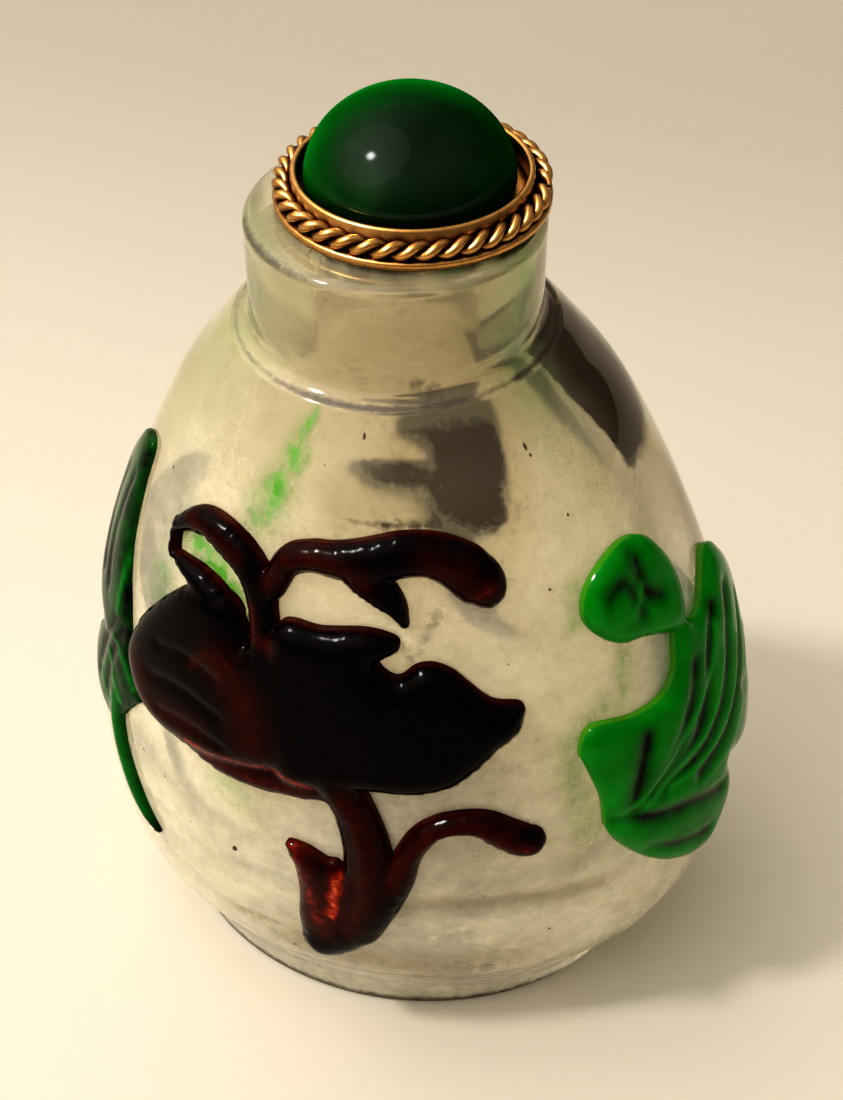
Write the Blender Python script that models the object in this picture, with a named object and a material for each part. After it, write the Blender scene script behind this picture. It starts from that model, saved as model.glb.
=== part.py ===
"""Overlay-glass snuff bottle with a loose stopper.

The bottle is one hollow body of thick clear glass, oval across, on a low oval foot. Pads of red and of
green glass are carved in relief on its walls. The stopper is a green glass cabochon in a gilt collar.
Metres, +Z up, front towards -Y. The origin is the middle of the foot's underside.
"""

import math

import bmesh
import bpy
import numpy as np
from mathutils.geometry import delaunay_2d_cdt

MM = 0.001

# Fits
GAP = 0.3 * MM  # clearance between pieces that rest on each other

# Bottle, outside
BODY_HEIGHT = 57.5 * MM  # from the underside to the neck
BODY_HALF_WIDTH = 26.4 * MM
BODY_DEPTH_SHARE = 0.785  # depth over width at the belly
FOOT_HEIGHT = 1.2 * MM
FOOT_HALF_WIDTH = 20.4 * MM
FOOT_DEPTH_SHARE = 0.865
NECK_HEIGHT = 8.75 * MM
NECK_RADIUS = 10.35 * MM
NECK_BASE_RADIUS = 11.7 * MM
NECK_FILLET_HEIGHT = 1.5 * MM
NECK_FILLET_PROFILE = ((0.45, 0.2), (0.12, 0.55), (0, 1))  # share of the flare left, share of the rise
NECK_SHIFT_X = -0.95 * MM  # the neck stands a little off the middle
NECK_SHIFT_Y = -0.2 * MM
LIP_ROUND = 0.8 * MM

SHOULDER_START = 0.45  # share of the wall's height where its oval starts to turn round
HEEL_END = 0.07  # share of the wall's height where the foot's oval has gone

# Bottle, inside
BORE_RADIUS = 5.9 * MM
BORE_ROUND = 0.4 * MM
SIDE_WALL = 5.5 * MM
FRONT_WALL = 4.8 * MM
BOTTOM_WALL = 7.0 * MM

# Stopper
COLLAR_SHIFT_X = 0.95 * MM  # the stopper sits off the neck's axis
COLLAR_SHIFT_Y = 1.1 * MM
STONE_RADIUS = 7.2 * MM
STONE_HEIGHT = 6.6 * MM
STONE_GIRDLE = 0.5 * MM
STONE_CLEARANCE = 0.55 * MM  # all round, inside the bezel
STONE_SHIFT_X = -0.2 * MM  # within that clearance
STONE_SHIFT_Y = 0.1 * MM
BEZEL_WALL = 0.45 * MM
BEZEL_HEIGHT = 2.3 * MM
PLATE_THICKNESS = 0.6 * MM
ROPE_RADIUS = 0.68 * MM
ROPE_STRANDS = 38
ROPE_STRAND_DEPTH = 0.2 * MM
ROPE_LEANS = (-50, -10, 30, 70, 115)  # degrees above the outward direction of the rings round its section
ROPE_SLANT = 1.2  # turn of a strand round the ring's wire for each turn of the wire's own section
ROPE_SEAT = 0.88  # share of its radius that the rope stands off the bezel and the plate

# Reliefs. Their drawings are in millimetres on a body of the drawn height, and grow with the body.
DRAWN_HEIGHT = 57.5
RED_THICKNESS = 1.5 * MM
GREEN_THICKNESS = 1.0 * MM
STEM_THICKNESS = 0.7 * MM
BACK_THICKNESS = 1.2 * MM
RIM_THICKNESS = 0.45 * MM  # the upright edge round each relief
GROOVE_DEPTH = 0.45 * MM
GROOVE_HALF_WIDTH = 0.55  # in the drawing's millimetres, as are the next two
RELIEF_STEP = 1.8
OUTLINE_CLEARANCE = 0.3  # shares of that step
POINT_CLEARANCE = 0.6
OUTLINE_STEPS = 2

# Facets
BODY_SEGMENTS = 40
PROFILE_STEPS = 16
WALL_RING_STEP = 11
NORMAL_STEP = 0.002  # in radians and in shares of the body's height, for the slope of the wall
COLLAR_SEGMENTS = 2 * ROPE_STRANDS
STONE_SEGMENTS = 32

# The body's half-width up its wall: share of the way from the foot to the neck, share of the widest
BODY_PROFILE = (
    (0.018, 0.806),
    (0.050, 0.872),
    (0.103, 0.943),
    (0.174, 0.982),
    (0.280, 1.000),
    (0.420, 0.987),
    (0.580, 0.909),
    (0.740, 0.784),
    (0.880, 0.642),
    (0.960, 0.515),
)

# The hollow's half-width up its wall: share of the way from its floor to the bore, share of its widest
HOLLOW_PROFILE = (
    (0.000, 0.10),
    (0.010, 0.36),
    (0.040, 0.63),
    (0.100, 0.85),
    (0.190, 0.98),
    (0.310, 1.00),
    (0.500, 0.92),
    (0.650, 0.80),
    (0.780, 0.64),
    (0.880, 0.48),
    (0.950, 0.35),
)


def smooth(points, steps, closed=False):
    """A Catmull-Rom curve through the points, with this many steps to a span."""
    points = np.array(points, float)
    count = len(points)
    curve = []
    for i in range(count if closed else count - 1):
        around = [(i + k) % count if closed else min(max(i + k, 0), count - 1) for k in (-1, 0, 1, 2)]
        before, start, end, after = points[around]
        for t in np.arange(steps) / steps:
            bend = 2 * before - 5 * start + 4 * end - after
            twist = 3 * start - before - 3 * end + after
            curve.append(start + 0.5 * ((end - before) * t + bend * t**2 + twist * t**3))
    if not closed:
        curve.append(points[-1])
    return np.array(curve)


def profile_curve():
    """The body's wall in section, as rises and half-widths, from the foot to the neck."""
    wall = BODY_HEIGHT - FOOT_HEIGHT
    middle = [(FOOT_HEIGHT + share * wall, width * BODY_HALF_WIDTH) for share, width in BODY_PROFILE]
    ends = (FOOT_HEIGHT, FOOT_HALF_WIDTH), (BODY_HEIGHT, NECK_BASE_RADIUS)
    return smooth([ends[0], *middle, ends[1]], PROFILE_STEPS).T


WALL_RISES, WALL_WIDTHS = profile_curve()


def wall_blends(rise):
    """How far the body's section has turned from a flat oval into the neck's circle and the foot's oval."""
    share = np.clip((rise - FOOT_HEIGHT) / (BODY_HEIGHT - FOOT_HEIGHT), 0, 1)
    to_neck = np.clip((share - SHOULDER_START) / (1 - SHOULDER_START), 0, 1) ** 2
    to_foot = np.clip(1 - share / HEEL_END, 0, 1) ** 2
    return to_neck, to_foot


def wall_section(rise):
    """Half-width, half-depth and middle of the body's oval section at this rise."""
    width = np.interp(rise, WALL_RISES, WALL_WIDTHS)
    to_neck, to_foot = wall_blends(rise)
    flat = BODY_DEPTH_SHARE + (1 - BODY_DEPTH_SHARE) * to_neck
    flat = flat + (FOOT_DEPTH_SHARE - BODY_DEPTH_SHARE) * to_foot
    return width, width * flat, NECK_SHIFT_X * to_neck, NECK_SHIFT_Y * to_neck


def on_wall(turn, rise):
    """Points on the body's wall, turned this far round from the middle of the front."""
    width, depth, x, y = wall_section(rise)
    return np.stack([x + width * np.sin(turn), y - depth * np.cos(turn), rise], axis=-1)


def off_wall(turn, rise, lift):
    """Points lifted off the body's wall along its normal."""
    across = on_wall(turn + NORMAL_STEP, rise) - on_wall(turn - NORMAL_STEP, rise)
    step = NORMAL_STEP * BODY_HEIGHT
    up = on_wall(turn, rise + step) - on_wall(turn, rise - step)
    normal = np.cross(across, up)
    normal = normal / np.linalg.norm(normal, axis=-1, keepdims=True)
    return on_wall(turn, rise) + normal * np.reshape(lift, (-1, 1))


def new_material(name, color, roughness, metallic=0.0):
    material = bpy.data.materials.new(name)
    material.use_nodes = True
    shader = material.node_tree.nodes["Principled BSDF"]
    shader.inputs["Base Color"].default_value = (*color, 1)
    shader.inputs["Roughness"].default_value = roughness
    shader.inputs["Metallic"].default_value = metallic
    return material


def new_object(name, points, faces, material, sharp_angle=35):
    """A mesh object with outward faces, shaded smooth but for its sharp edges."""
    mesh = bpy.data.meshes.new(name)
    mesh.from_pydata([tuple(point) for point in points], [], [tuple(face) for face in faces])
    shape = bmesh.new()
    shape.from_mesh(mesh)
    bmesh.ops.recalc_face_normals(shape, faces=shape.faces)
    shape.to_mesh(mesh)
    shape.free()
    mesh.shade_smooth()
    mesh.set_sharp_from_angle(angle=math.radians(sharp_angle))
    mesh.materials.append(material)
    thing = bpy.data.objects.new(name, mesh)
    bpy.context.scene.collection.objects.link(thing)
    return thing


def lofted(name, rings, material, sharp_angle=35):
    """A closed body through rings of equally many points, with a fan over each end."""
    count = len(rings[0])
    points = np.concatenate([*rings, [np.mean(rings[0], axis=0)], [np.mean(rings[-1], axis=0)]])
    faces = []
    for ring in range(len(rings) - 1):
        for i in range(count):
            j = (i + 1) % count
            low, high = ring * count, (ring + 1) * count
            faces.append((low + i, low + j, high + j, high + i))
    first, last = len(points) - 2, len(points) - 1
    top = (len(rings) - 1) * count
    for i in range(count):
        j = (i + 1) % count
        faces.append((first, j, i))
        faces.append((last, top + i, top + j))
    return new_object(name, points, faces, material, sharp_angle)


def oval(half_width, half_depth, x, y, z, segments):
    turns = np.arange(segments) * 2 * math.pi / segments
    heights = np.broadcast_to(z, turns.shape)
    return np.stack([x + half_width * np.sin(turns), y - half_depth * np.cos(turns), heights], axis=-1)


def arc(radius, start, end, steps):
    """(cosine, sine) pairs of an arc, times its radius."""
    turns = np.radians(np.linspace(start, end, steps))
    return radius * np.stack([np.cos(turns), np.sin(turns)], axis=-1)


def bottle_outside():
    rings = [oval(FOOT_HALF_WIDTH, FOOT_HALF_WIDTH * FOOT_DEPTH_SHARE, 0, 0, 0, BODY_SEGMENTS)]
    for rise in WALL_RISES[::WALL_RING_STEP]:
        rings.append(oval(*wall_section(rise), rise, BODY_SEGMENTS))
    neck_top = BODY_HEIGHT + NECK_HEIGHT
    flare = NECK_BASE_RADIUS - NECK_RADIUS
    for out, up in NECK_FILLET_PROFILE:
        radius = NECK_RADIUS + flare * out
        rise = BODY_HEIGHT + NECK_FILLET_HEIGHT * up
        rings.append(oval(radius, radius, NECK_SHIFT_X, NECK_SHIFT_Y, rise, BODY_SEGMENTS))
    for out, up in arc(LIP_ROUND, 0, 90, 4):
        radius = NECK_RADIUS - LIP_ROUND + out
        rise = neck_top - LIP_ROUND + up
        rings.append(oval(radius, radius, NECK_SHIFT_X, NECK_SHIFT_Y, rise, BODY_SEGMENTS))
    return rings


def bottle_inside():
    rings = []
    neck_top = BODY_HEIGHT + NECK_HEIGHT
    for out, up in arc(BORE_ROUND, 90, 180, 2):
        radius = BORE_RADIUS + BORE_ROUND + out
        rise = neck_top - BORE_ROUND + up
        rings.append(oval(radius, radius, NECK_SHIFT_X, NECK_SHIFT_Y, rise, BODY_SEGMENTS))
    widest = BODY_HALF_WIDTH - SIDE_WALL
    deepest = BODY_HALF_WIDTH * BODY_DEPTH_SHARE - FRONT_WALL
    for share, width in smooth([*HOLLOW_PROFILE, (1, BORE_RADIUS / widest)], 1)[::-1]:
        rise = BOTTOM_WALL + share * (BODY_HEIGHT - BOTTOM_WALL)
        to_neck = wall_blends(rise)[0]
        flat = deepest / widest * (1 - to_neck) + to_neck
        x, y = NECK_SHIFT_X * to_neck, NECK_SHIFT_Y * to_neck
        rings.append(oval(width * widest, width * widest * flat, x, y, rise, BODY_SEGMENTS))
    return rings


def glass_bottle():
    glass = new_material("clear glass", (0.72, 0.68, 0.50), 0.05)
    return lofted("glass_bottle", bottle_outside() + bottle_inside(), glass)


def distances(points, line):
    """Distance from each point to a closed or open line of straight pieces."""
    start, end = line[:-1], line[1:]
    along = end - start
    length = np.maximum((along**2).sum(axis=1), 1e-12)
    offset = points[:, None] - start[None]
    share = np.clip((offset * along).sum(axis=2) / length, 0, 1)
    nearest = start[None] + share[..., None] * along[None]
    return np.linalg.norm(points[:, None] - nearest, axis=2).min(axis=1)


def is_inside(points, outline):
    x, y = points[:, 0, None], points[:, 1, None]
    x0, y0 = outline.T
    x1, y1 = np.roll(outline, -1, axis=0).T
    crosses = (y0 > y) != (y1 > y)
    rise = np.where(y1 == y0, 1e-12, y1 - y0)
    return (crosses & (x < x0 + (y - y0) * (x1 - x0) / rise)).sum(axis=1) % 2 == 1


def drawn(points):
    """Drawing points, (turn in degrees, rise, ...), with the turn made millimetres round the belly."""
    points = np.array(points, float)
    points[:, 0] *= degree_run()
    return points


def degree_run():
    """Millimetres round the belly, at the drawn height, for one degree."""
    girth_radius = BODY_HALF_WIDTH * (1 + BODY_DEPTH_SHARE) / 2
    return math.radians(girth_radius * DRAWN_HEIGHT / BODY_HEIGHT)


def lobe(thickness, edge, points):
    """A pad with this outline, rounded over this far in from its edge."""
    outline = smooth(drawn(points), OUTLINE_STEPS, closed=True)
    return {"outline": outline, "thickness": thickness, "edge": edge, "spine": outline[:0]}


def ribbon(thickness, points):
    """A band of (turn, rise, half-width) points with round ends and a round back."""
    line = smooth(drawn(points), OUTLINE_STEPS)
    spine, half = line[:, :2], line[:, 2:]
    along = np.gradient(spine, axis=0)
    along = along / np.linalg.norm(along, axis=1, keepdims=True)
    left = np.stack([-along[:, 1], along[:, 0]], axis=1)
    caps = []
    for tip in (-1, 0):
        side = left[tip] if tip else -left[tip]
        ahead = along[tip] if tip else -along[tip]
        caps.append([spine[tip] + half[tip] * (side * c + ahead * s) for c, s in arc(1, 36, 144, 4)])
    outline = np.concatenate([spine + left * half, caps[0], (spine - left * half)[::-1], caps[1]])
    return {"outline": outline, "thickness": thickness, "edge": half.max(), "spine": spine}


def groove(*points):
    return smooth(drawn(points), OUTLINE_STEPS)


def relief_height(points, forms, grooves):
    """Height of the carved glass over the wall: the highest form, less the grooves, never under the rim."""
    height = np.zeros(len(points))
    for form in forms:
        closed = np.concatenate([form["outline"], form["outline"][:1]])
        depth_in = np.where(is_inside(points, form["outline"]), distances(points, closed), 0)
        share = np.clip(depth_in / form["edge"], 0, 1)
        height = np.maximum(height, form["thickness"] * np.sqrt(1 - (1 - share) ** 2))
    for line in grooves:
        away = np.clip(distances(points, line) / GROOVE_HALF_WIDTH, 0, 1)
        height = height - GROOVE_DEPTH * (1 - away**2)
    return np.maximum(height, RIM_THICKNESS)


def clear_of_outlines(points, outlines):
    """Which points are inside an outline and clear of them all."""
    inside = np.any([is_inside(points, outline) for outline in outlines], axis=0)
    for outline in outlines:
        closed = np.concatenate([outline, outline[:1]])
        inside &= distances(points, closed) > RELIEF_STEP * OUTLINE_CLEARANCE
    return inside


def filling(forms, grooves):
    """Points inside the forms (grooves, spines and a hexagonal net), and the edges along the grooves."""
    outlines = [form["outline"] for form in forms]
    low = np.min([outline.min(axis=0) for outline in outlines], axis=0)
    high = np.max([outline.max(axis=0) for outline in outlines], axis=0)
    rows = np.arange(low[1], high[1], RELIEF_STEP * math.sqrt(0.75))
    net = [
        (x + RELIEF_STEP / 2 * (i % 2), y)
        for i, y in enumerate(rows)
        for x in np.arange(low[0], high[0], RELIEF_STEP)
    ]
    chosen = np.zeros((0, 2))
    edges = []
    for line in grooves:
        line = line[clear_of_outlines(line, outlines)]
        edges += [(len(chosen) + i, len(chosen) + i + 1) for i in range(len(line) - 1)]
        chosen = np.concatenate([chosen, line])
    for more in [form["spine"] for form in forms] + [np.array(net)]:
        more = more[clear_of_outlines(more, outlines)]
        if len(chosen):
            apart = np.linalg.norm(more[:, None] - chosen[None], axis=2).min(axis=1)
            more = more[apart > RELIEF_STEP * POINT_CLEARANCE]
        chosen = np.concatenate([chosen, more])
    return chosen, edges


def relief(name, forms, material, grooves=()):
    """A pad of carved glass, a hair off the body's wall, whose outline is that of all its forms together."""
    grooves = list(grooves)
    outlines = [form["outline"] for form in forms]
    edges = []
    start = 0
    for outline in outlines:
        count = len(outline)
        edges += [(start + i, start + (i + 1) % count) for i in range(count)]
        start += count
    inner, inner_edges = filling(forms, grooves)
    edges += [(start + a, start + b) for a, b in inner_edges]
    points = np.concatenate([*outlines, inner])
    flat, _, faces, *_ = delaunay_2d_cdt(points.tolist(), edges, [], 0, 1e-4, False)
    flat = np.array([tuple(point) for point in flat])
    faces = np.array(faces)
    middles = flat[faces].mean(axis=1)
    faces = faces[np.any([is_inside(middles, outline) for outline in outlines], axis=0)]
    used, faces = np.unique(faces, return_inverse=True)
    flat, faces = flat[used], faces.reshape(-1, 3)

    turn = np.radians(flat[:, 0] / degree_run())
    rise = flat[:, 1] * BODY_HEIGHT / DRAWN_HEIGHT
    bottom = off_wall(turn, rise, np.full(len(flat), GAP))
    top = off_wall(turn, rise, GAP + relief_height(flat, forms, grooves))
    count = len(flat)
    shell = [tuple(face + count) for face in faces] + [tuple(face[::-1]) for face in faces]
    borders = {(a, b) for face in faces.tolist() for a, b in zip(face, face[1:] + face[:1])}
    shell += [(a, b, b + count, a + count) for a, b in sorted(borders) if (b, a) not in borders]
    return new_object(name, np.concatenate([bottom, top]), shell, material)


def front_figure():
    """The red figure: a round breast and back, a curl and a wing over them, a stem, a leaf and a tendril."""
    red = new_material("red overlay glass", (0.045, 0.006, 0.005), 0.12)
    breast = lobe(RED_THICKNESS, 2.6, (
        (-35, 42.4), (-43.5, 38.8), (-48, 35.6), (-48.9, 33), (-45.7, 30.6), (-41.6, 29.2), (-36, 28.5),
        (-28, 28.4), (-18, 29), (-9, 31), (-8, 37), (-13, 41), (-20.2, 40), (-22.5, 42.6), (-28, 43.3),
    ))
    back = lobe(RED_THICKNESS, 2.2, (
        (-14, 42.4), (-5, 43), (3.7, 43.5), (9.5, 43), (9.6, 42), (6, 41), (7.4, 40.1), (9.7, 39.9),
        (12.7, 40.8), (16, 41), (19.5, 40.4), (22.4, 39.2), (26, 37.8), (31.2, 37.2), (31, 36),
        (29.4, 34.7),
        (25.8, 33.6), (21.7, 31.9), (16.9, 30.4), (10.4, 29.7), (3.9, 29.7), (-4, 29.2), (-12, 29.4),
        (-17, 36),
    ))
    curl = ribbon(RED_THICKNESS * 0.75, (
        (-42.6, 46, 0.7), (-38, 47.2, 1.05), (-33, 47.6, 1.2), (-27.5, 47.2, 1.4), (-22.5, 46.4, 1.45),
        (-18.9, 45, 1.45), (-17.4, 43, 1.25), (-16.6, 41, 1.25), (-16.6, 38.5, 1.4),
    ))
    crest = ribbon(RED_THICKNESS * 0.8, (
        (-42, 43.5, 0.3), (-37.5, 43.3, 0.7), (-33, 43, 1.05), (-28, 42.2, 1.3), (-24, 40.6, 1.5),
    ))
    belly = ribbon(RED_THICKNESS * 0.55, (
        (-31.3, 28.6, 0.3), (-26, 28.5, 1), (-19, 28.5, 1.35), (-12, 28.8, 1.4), (-5, 29.1, 1.3),
        (0, 29.6, 1.1),
    ))
    wing = ribbon(RED_THICKNESS * 0.9, (
        (-15.8, 45.2, 1.1), (-13, 47.4, 1.2), (-8, 48.3, 1.15), (-2, 48.4, 1.35), (5, 48.6, 1.7),
        (11, 49.2, 1.6), (17, 49.3, 1.6), (22, 48.7, 1.9), (26, 47.7, 2.2), (28.2, 47.1, 2),
    ))
    drip = ribbon(RED_THICKNESS * 0.8, (
        (2.5, 47.6, 1.3), (7, 46.6, 1.35), (9.8, 45.5, 1), (11.2, 44.3, 0.45),
    ))
    stem = ribbon(RED_THICKNESS * 0.95, (
        (-2.5, 30.5, 1.6), (0.6, 28, 1.5), (2.8, 25, 1.6), (3.6, 22, 1.75), (3.2, 19, 1.95), (1.6, 16, 2),
        (-1.4, 13.2, 1.9), (-4.6, 11.6, 1.7),
    ))
    leaf = lobe(RED_THICKNESS * 0.6, 1.5, (
        (-10.6, 22.6), (-9.2, 20.5), (-8.5, 17.7), (-9, 13.8), (-8, 10.8), (-4.3, 9.8), (0, 12), (1.5, 16),
        (0.5, 20), (-1.4, 21.8), (-3.6, 21.9), (-7, 22.7),
    ))
    tendril = ribbon(RED_THICKNESS * 0.85, (
        (1.5, 14, 1.6), (5.2, 17.6, 1.4), (8.2, 20.8, 1.15), (9.8, 23.4, 0.95), (12, 25.4, 0.95),
        (15.2, 26.6, 0.95),
        (19, 27, 1), (22.6, 26.7, 1.2), (26.2, 25.6, 1.35), (28.6, 24.9, 1.4), (29.9, 24.7, 1.3),
    ))
    grooves = (
        groove((-38, 36.5), (-31, 37.2), (-24, 36.6)),
        groove((-39, 33.6), (-31, 34.2), (-22, 33.4)),
        groove((-36, 31), (-29, 31.4), (-21, 30.8)),
        groove((-14.5, 46.2), (-9, 47.2), (-2, 47.4), (5, 47.4), (10, 47.8)),
        groove((0.5, 27), (1.6, 23), (1.4, 18.5), (-1, 14.8)),
    )
    forms = [breast, back, curl, crest, belly, wing, drip, stem, leaf, tendril]
    return relief("front_figure", forms, red, grooves)


def right_leaves():
    """Two green leaves on the right: a small one, joined at its corner to a large one cut into a fan."""
    green = new_material("green overlay glass", (0.0, 0.18, 0.02), 0.1)
    small = lobe(GREEN_THICKNESS, 2, (
        (64.1, 46.3), (70, 45.4), (73.6, 43.3), (74.6, 41.3), (73.4, 39), (70, 37.6), (60, 38.9),
        (53.5, 39.5),
        (48.6, 41), (47.1, 42.7), (50, 44.6), (56.7, 45.9),
    ))
    large = lobe(GREEN_THICKNESS, 2.2, (
        (91.5, 39.4), (99, 38), (106, 34.6), (110, 30), (108, 25.2), (101, 21.8), (90, 20.5), (83, 21.4),
        (78.6, 22.4), (81.4, 20), (81.8, 17.8), (78, 15.6), (73.5, 14.2), (67, 14.8), (57, 17.4),
        (49, 20.8),
        (44.4, 23.8), (43.6, 27), (41.4, 30.2), (40.4, 32), (43.5, 33.8), (52.8, 33.3), (60.4, 33.6),
        (65, 34.9), (67, 36.8), (70.2, 39), (74, 37.4), (79, 37.3), (85, 38.6),
    ))
    rib_ends = ((57, 32.2), (63, 32.6), (70, 34.6), (78, 36), (87, 36.6), (97, 34.6), (103, 29), (98, 24))
    ribs = []
    for turn, rise in rib_ends:
        halfway = (48.5 + turn) / 2 + 2, (26 + rise) / 2 - 1.6
        ribs.append(groove((48.5, 26), halfway, (turn, rise)))
    low_ribs = (
        groove((47, 24), (58, 21.6), (70, 21.2), (79, 20)),
        groove((48.5, 23.2), (60, 19.6), (74, 17)),
    )
    vein = groove((51.5, 41), (58, 42), (66, 42.6))
    return relief("right_leaves", [small, large], green, [*ribs, *low_ribs, vein])


def left_leaf():
    """A green leaf round the left side, with a lower lobe and a stem that runs down to the front."""
    green = new_material("dark green overlay glass", (0.0, 0.10, 0.02), 0.1)
    upper = lobe(GREEN_THICKNESS * 0.65, 2, (
        (-66.8, 47.6), (-64.4, 44.8), (-62.5, 42.2), (-60.5, 39.8), (-57, 37.2), (-53.8, 35), (-52, 32.4),
        (-57, 29.6), (-65, 30.6), (-74, 32), (-83, 35.5), (-88, 40), (-84, 44), (-76, 47),
    ))
    lower = lobe(GREEN_THICKNESS * 0.5, 1.8, (
        (-53.2, 34), (-52, 31.6), (-48.6, 29.6), (-44.8, 28.4), (-46.4, 27.4), (-49, 26), (-51.4, 24.6),
        (-55, 23.3),
        (-61, 22.8), (-67, 24), (-70, 27), (-67, 30), (-61.5, 32),
    ))
    stem = ribbon(STEM_THICKNESS, (
        (-53.5, 26.5, 0.8), (-52.9, 23.5, 0.8), (-51.2, 20.8, 0.8), (-48.4, 18, 0.8), (-45, 15.8, 0.6),
        (-42, 14.5, 0.35),
    ))
    grooves = (
        groove((-53.5, 33), (-56.5, 29), (-57.5, 25.5)),
        groove((-56, 33.5), (-60.5, 29.6), (-62.5, 26)),
        groove((-68, 44.5), (-69, 39), (-64, 34.5)),
        groove((-76, 43.5), (-77, 39), (-70, 34.5)),
    )
    return relief("left_leaf", [upper, lower, stem], green, grooves)


def back_figure():
    """A plainer red figure on the back: a rounded body with a tongue to one side and a stem below."""
    red = new_material("dark red overlay glass", (0.035, 0.006, 0.006), 0.12)
    body = lobe(BACK_THICKNESS, 2.2, (
        (167, 38), (167.6, 35), (166, 31), (168.5, 28), (172, 25.2), (178, 24), (186, 23.6), (189, 26),
        (188, 31.4), (196, 33.4), (190, 36.4), (183, 39.6), (175, 41.5), (169, 41),
    ))
    tongue = ribbon(BACK_THICKNESS * 0.85, (
        (184, 26.8, 2.5), (192, 26.9, 2.5), (200, 27.3, 2.2), (205, 28.1, 1.3),
    ))
    stem = ribbon(BACK_THICKNESS * 0.85, (
        (182, 26, 1.9), (181, 20, 1.9), (178, 16, 1.8), (173, 12.8, 1.5), (168, 11.4, 1),
    ))
    grooves = (groove((172, 37), (177, 32), (181, 27)),)
    return relief("back_figure", [body, tongue, stem], red, grooves)


def stopper_middle():
    return NECK_SHIFT_X + COLLAR_SHIFT_X, NECK_SHIFT_Y + COLLAR_SHIFT_Y


def gilt_collar():
    """A turned gilt cup on a thin plate, with a twisted wire soldered round it."""
    gilt = new_material("gilt brass", (0.62, 0.34, 0.09), 0.3, 1.0)
    x, y = stopper_middle()
    base = BODY_HEIGHT + NECK_HEIGHT + GAP
    inner = STONE_RADIUS + STONE_CLEARANCE
    outer = inner + BEZEL_WALL
    rope_radius = outer + ROPE_SEAT * ROPE_RADIUS
    rope_rise = PLATE_THICKNESS + ROPE_SEAT * ROPE_RADIUS
    plate_radius = rope_radius + ROPE_SEAT * ROPE_RADIUS
    turns = np.arange(COLLAR_SEGMENTS) * 2 * math.pi / COLLAR_SEGMENTS

    def ring(radius, rise):
        radii = np.broadcast_to(radius, turns.shape)
        heights = np.broadcast_to(base + rise, turns.shape)
        return np.stack([x + radii * np.sin(turns), y - radii * np.cos(turns), heights], axis=-1)

    rings = [ring(plate_radius, 0), ring(plate_radius, PLATE_THICKNESS)]
    for lean in ROPE_LEANS:
        slant = math.radians(lean) * ROPE_SLANT
        swell = ROPE_RADIUS - ROPE_STRAND_DEPTH * (0.5 - 0.5 * np.cos(ROPE_STRANDS * turns + slant))
        out = swell * math.cos(math.radians(lean))
        up = swell * math.sin(math.radians(lean))
        rings.append(ring(rope_radius + out, rope_rise + up))
    rings.append(ring(outer, BEZEL_HEIGHT))
    rings.append(ring(inner, BEZEL_HEIGHT))
    rings.append(ring(inner, PLATE_THICKNESS))
    return lofted("gilt_collar", rings, gilt)


def green_cabochon():
    glass = new_material("green cabochon glass", (0.0, 0.07, 0.02), 0.05)
    middle = stopper_middle()
    x, y = middle[0] + STONE_SHIFT_X, middle[1] + STONE_SHIFT_Y
    base = BODY_HEIGHT + NECK_HEIGHT + GAP + PLATE_THICKNESS + GAP
    under = STONE_RADIUS - STONE_GIRDLE / 2
    rings = [oval(under, under, x, y, base, STONE_SEGMENTS)]
    for out, up in arc(1, 0, 82, 7):
        rise = base + STONE_GIRDLE + (STONE_HEIGHT - STONE_GIRDLE) * up
        rings.append(oval(STONE_RADIUS * out, STONE_RADIUS * out, x, y, rise, STONE_SEGMENTS))
    return lofted("green_cabochon", rings, glass)


def main():
    for thing in list(bpy.data.objects):
        bpy.data.objects.remove(thing)
    glass_bottle()
    front_figure()
    right_leaves()
    left_leaf()
    back_figure()
    gilt_collar()
    green_cabochon()


main()
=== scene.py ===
"""The looks of an overlay-glass snuff bottle with a loose stopper, laid out as an add-on."""

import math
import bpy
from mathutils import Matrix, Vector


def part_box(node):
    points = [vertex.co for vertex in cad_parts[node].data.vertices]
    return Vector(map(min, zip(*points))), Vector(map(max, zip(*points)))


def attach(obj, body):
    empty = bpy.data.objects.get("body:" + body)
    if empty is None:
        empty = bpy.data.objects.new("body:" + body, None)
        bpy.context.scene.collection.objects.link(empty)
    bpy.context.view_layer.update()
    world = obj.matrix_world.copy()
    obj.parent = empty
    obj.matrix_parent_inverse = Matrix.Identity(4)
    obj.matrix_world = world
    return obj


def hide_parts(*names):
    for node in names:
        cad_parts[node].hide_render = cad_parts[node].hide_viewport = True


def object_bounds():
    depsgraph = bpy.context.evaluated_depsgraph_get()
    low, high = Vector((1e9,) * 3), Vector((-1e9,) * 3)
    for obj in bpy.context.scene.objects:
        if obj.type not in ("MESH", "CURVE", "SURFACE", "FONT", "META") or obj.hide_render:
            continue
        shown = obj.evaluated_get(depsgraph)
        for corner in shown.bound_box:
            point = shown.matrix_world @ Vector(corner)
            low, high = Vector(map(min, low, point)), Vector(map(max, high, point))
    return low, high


bl_info = {
    "name": "Overlay-glass snuff bottle",
    "version": (1, 0, 0),
    "blender": (4, 5, 0),
    "location": "View3D > Sidebar > Snuff bottle",
    "description": "Blows the bottle, carves its overlays, mounts its stopper and sets a plain stage",
    "category": "Object",
}

import bmesh
import bpy
import numpy as np
from bpy.props import FloatProperty, FloatVectorProperty, IntProperty, PointerProperty
from mathutils import Matrix, Vector, noise
from mathutils.geometry import delaunay_2d_cdt

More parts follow.
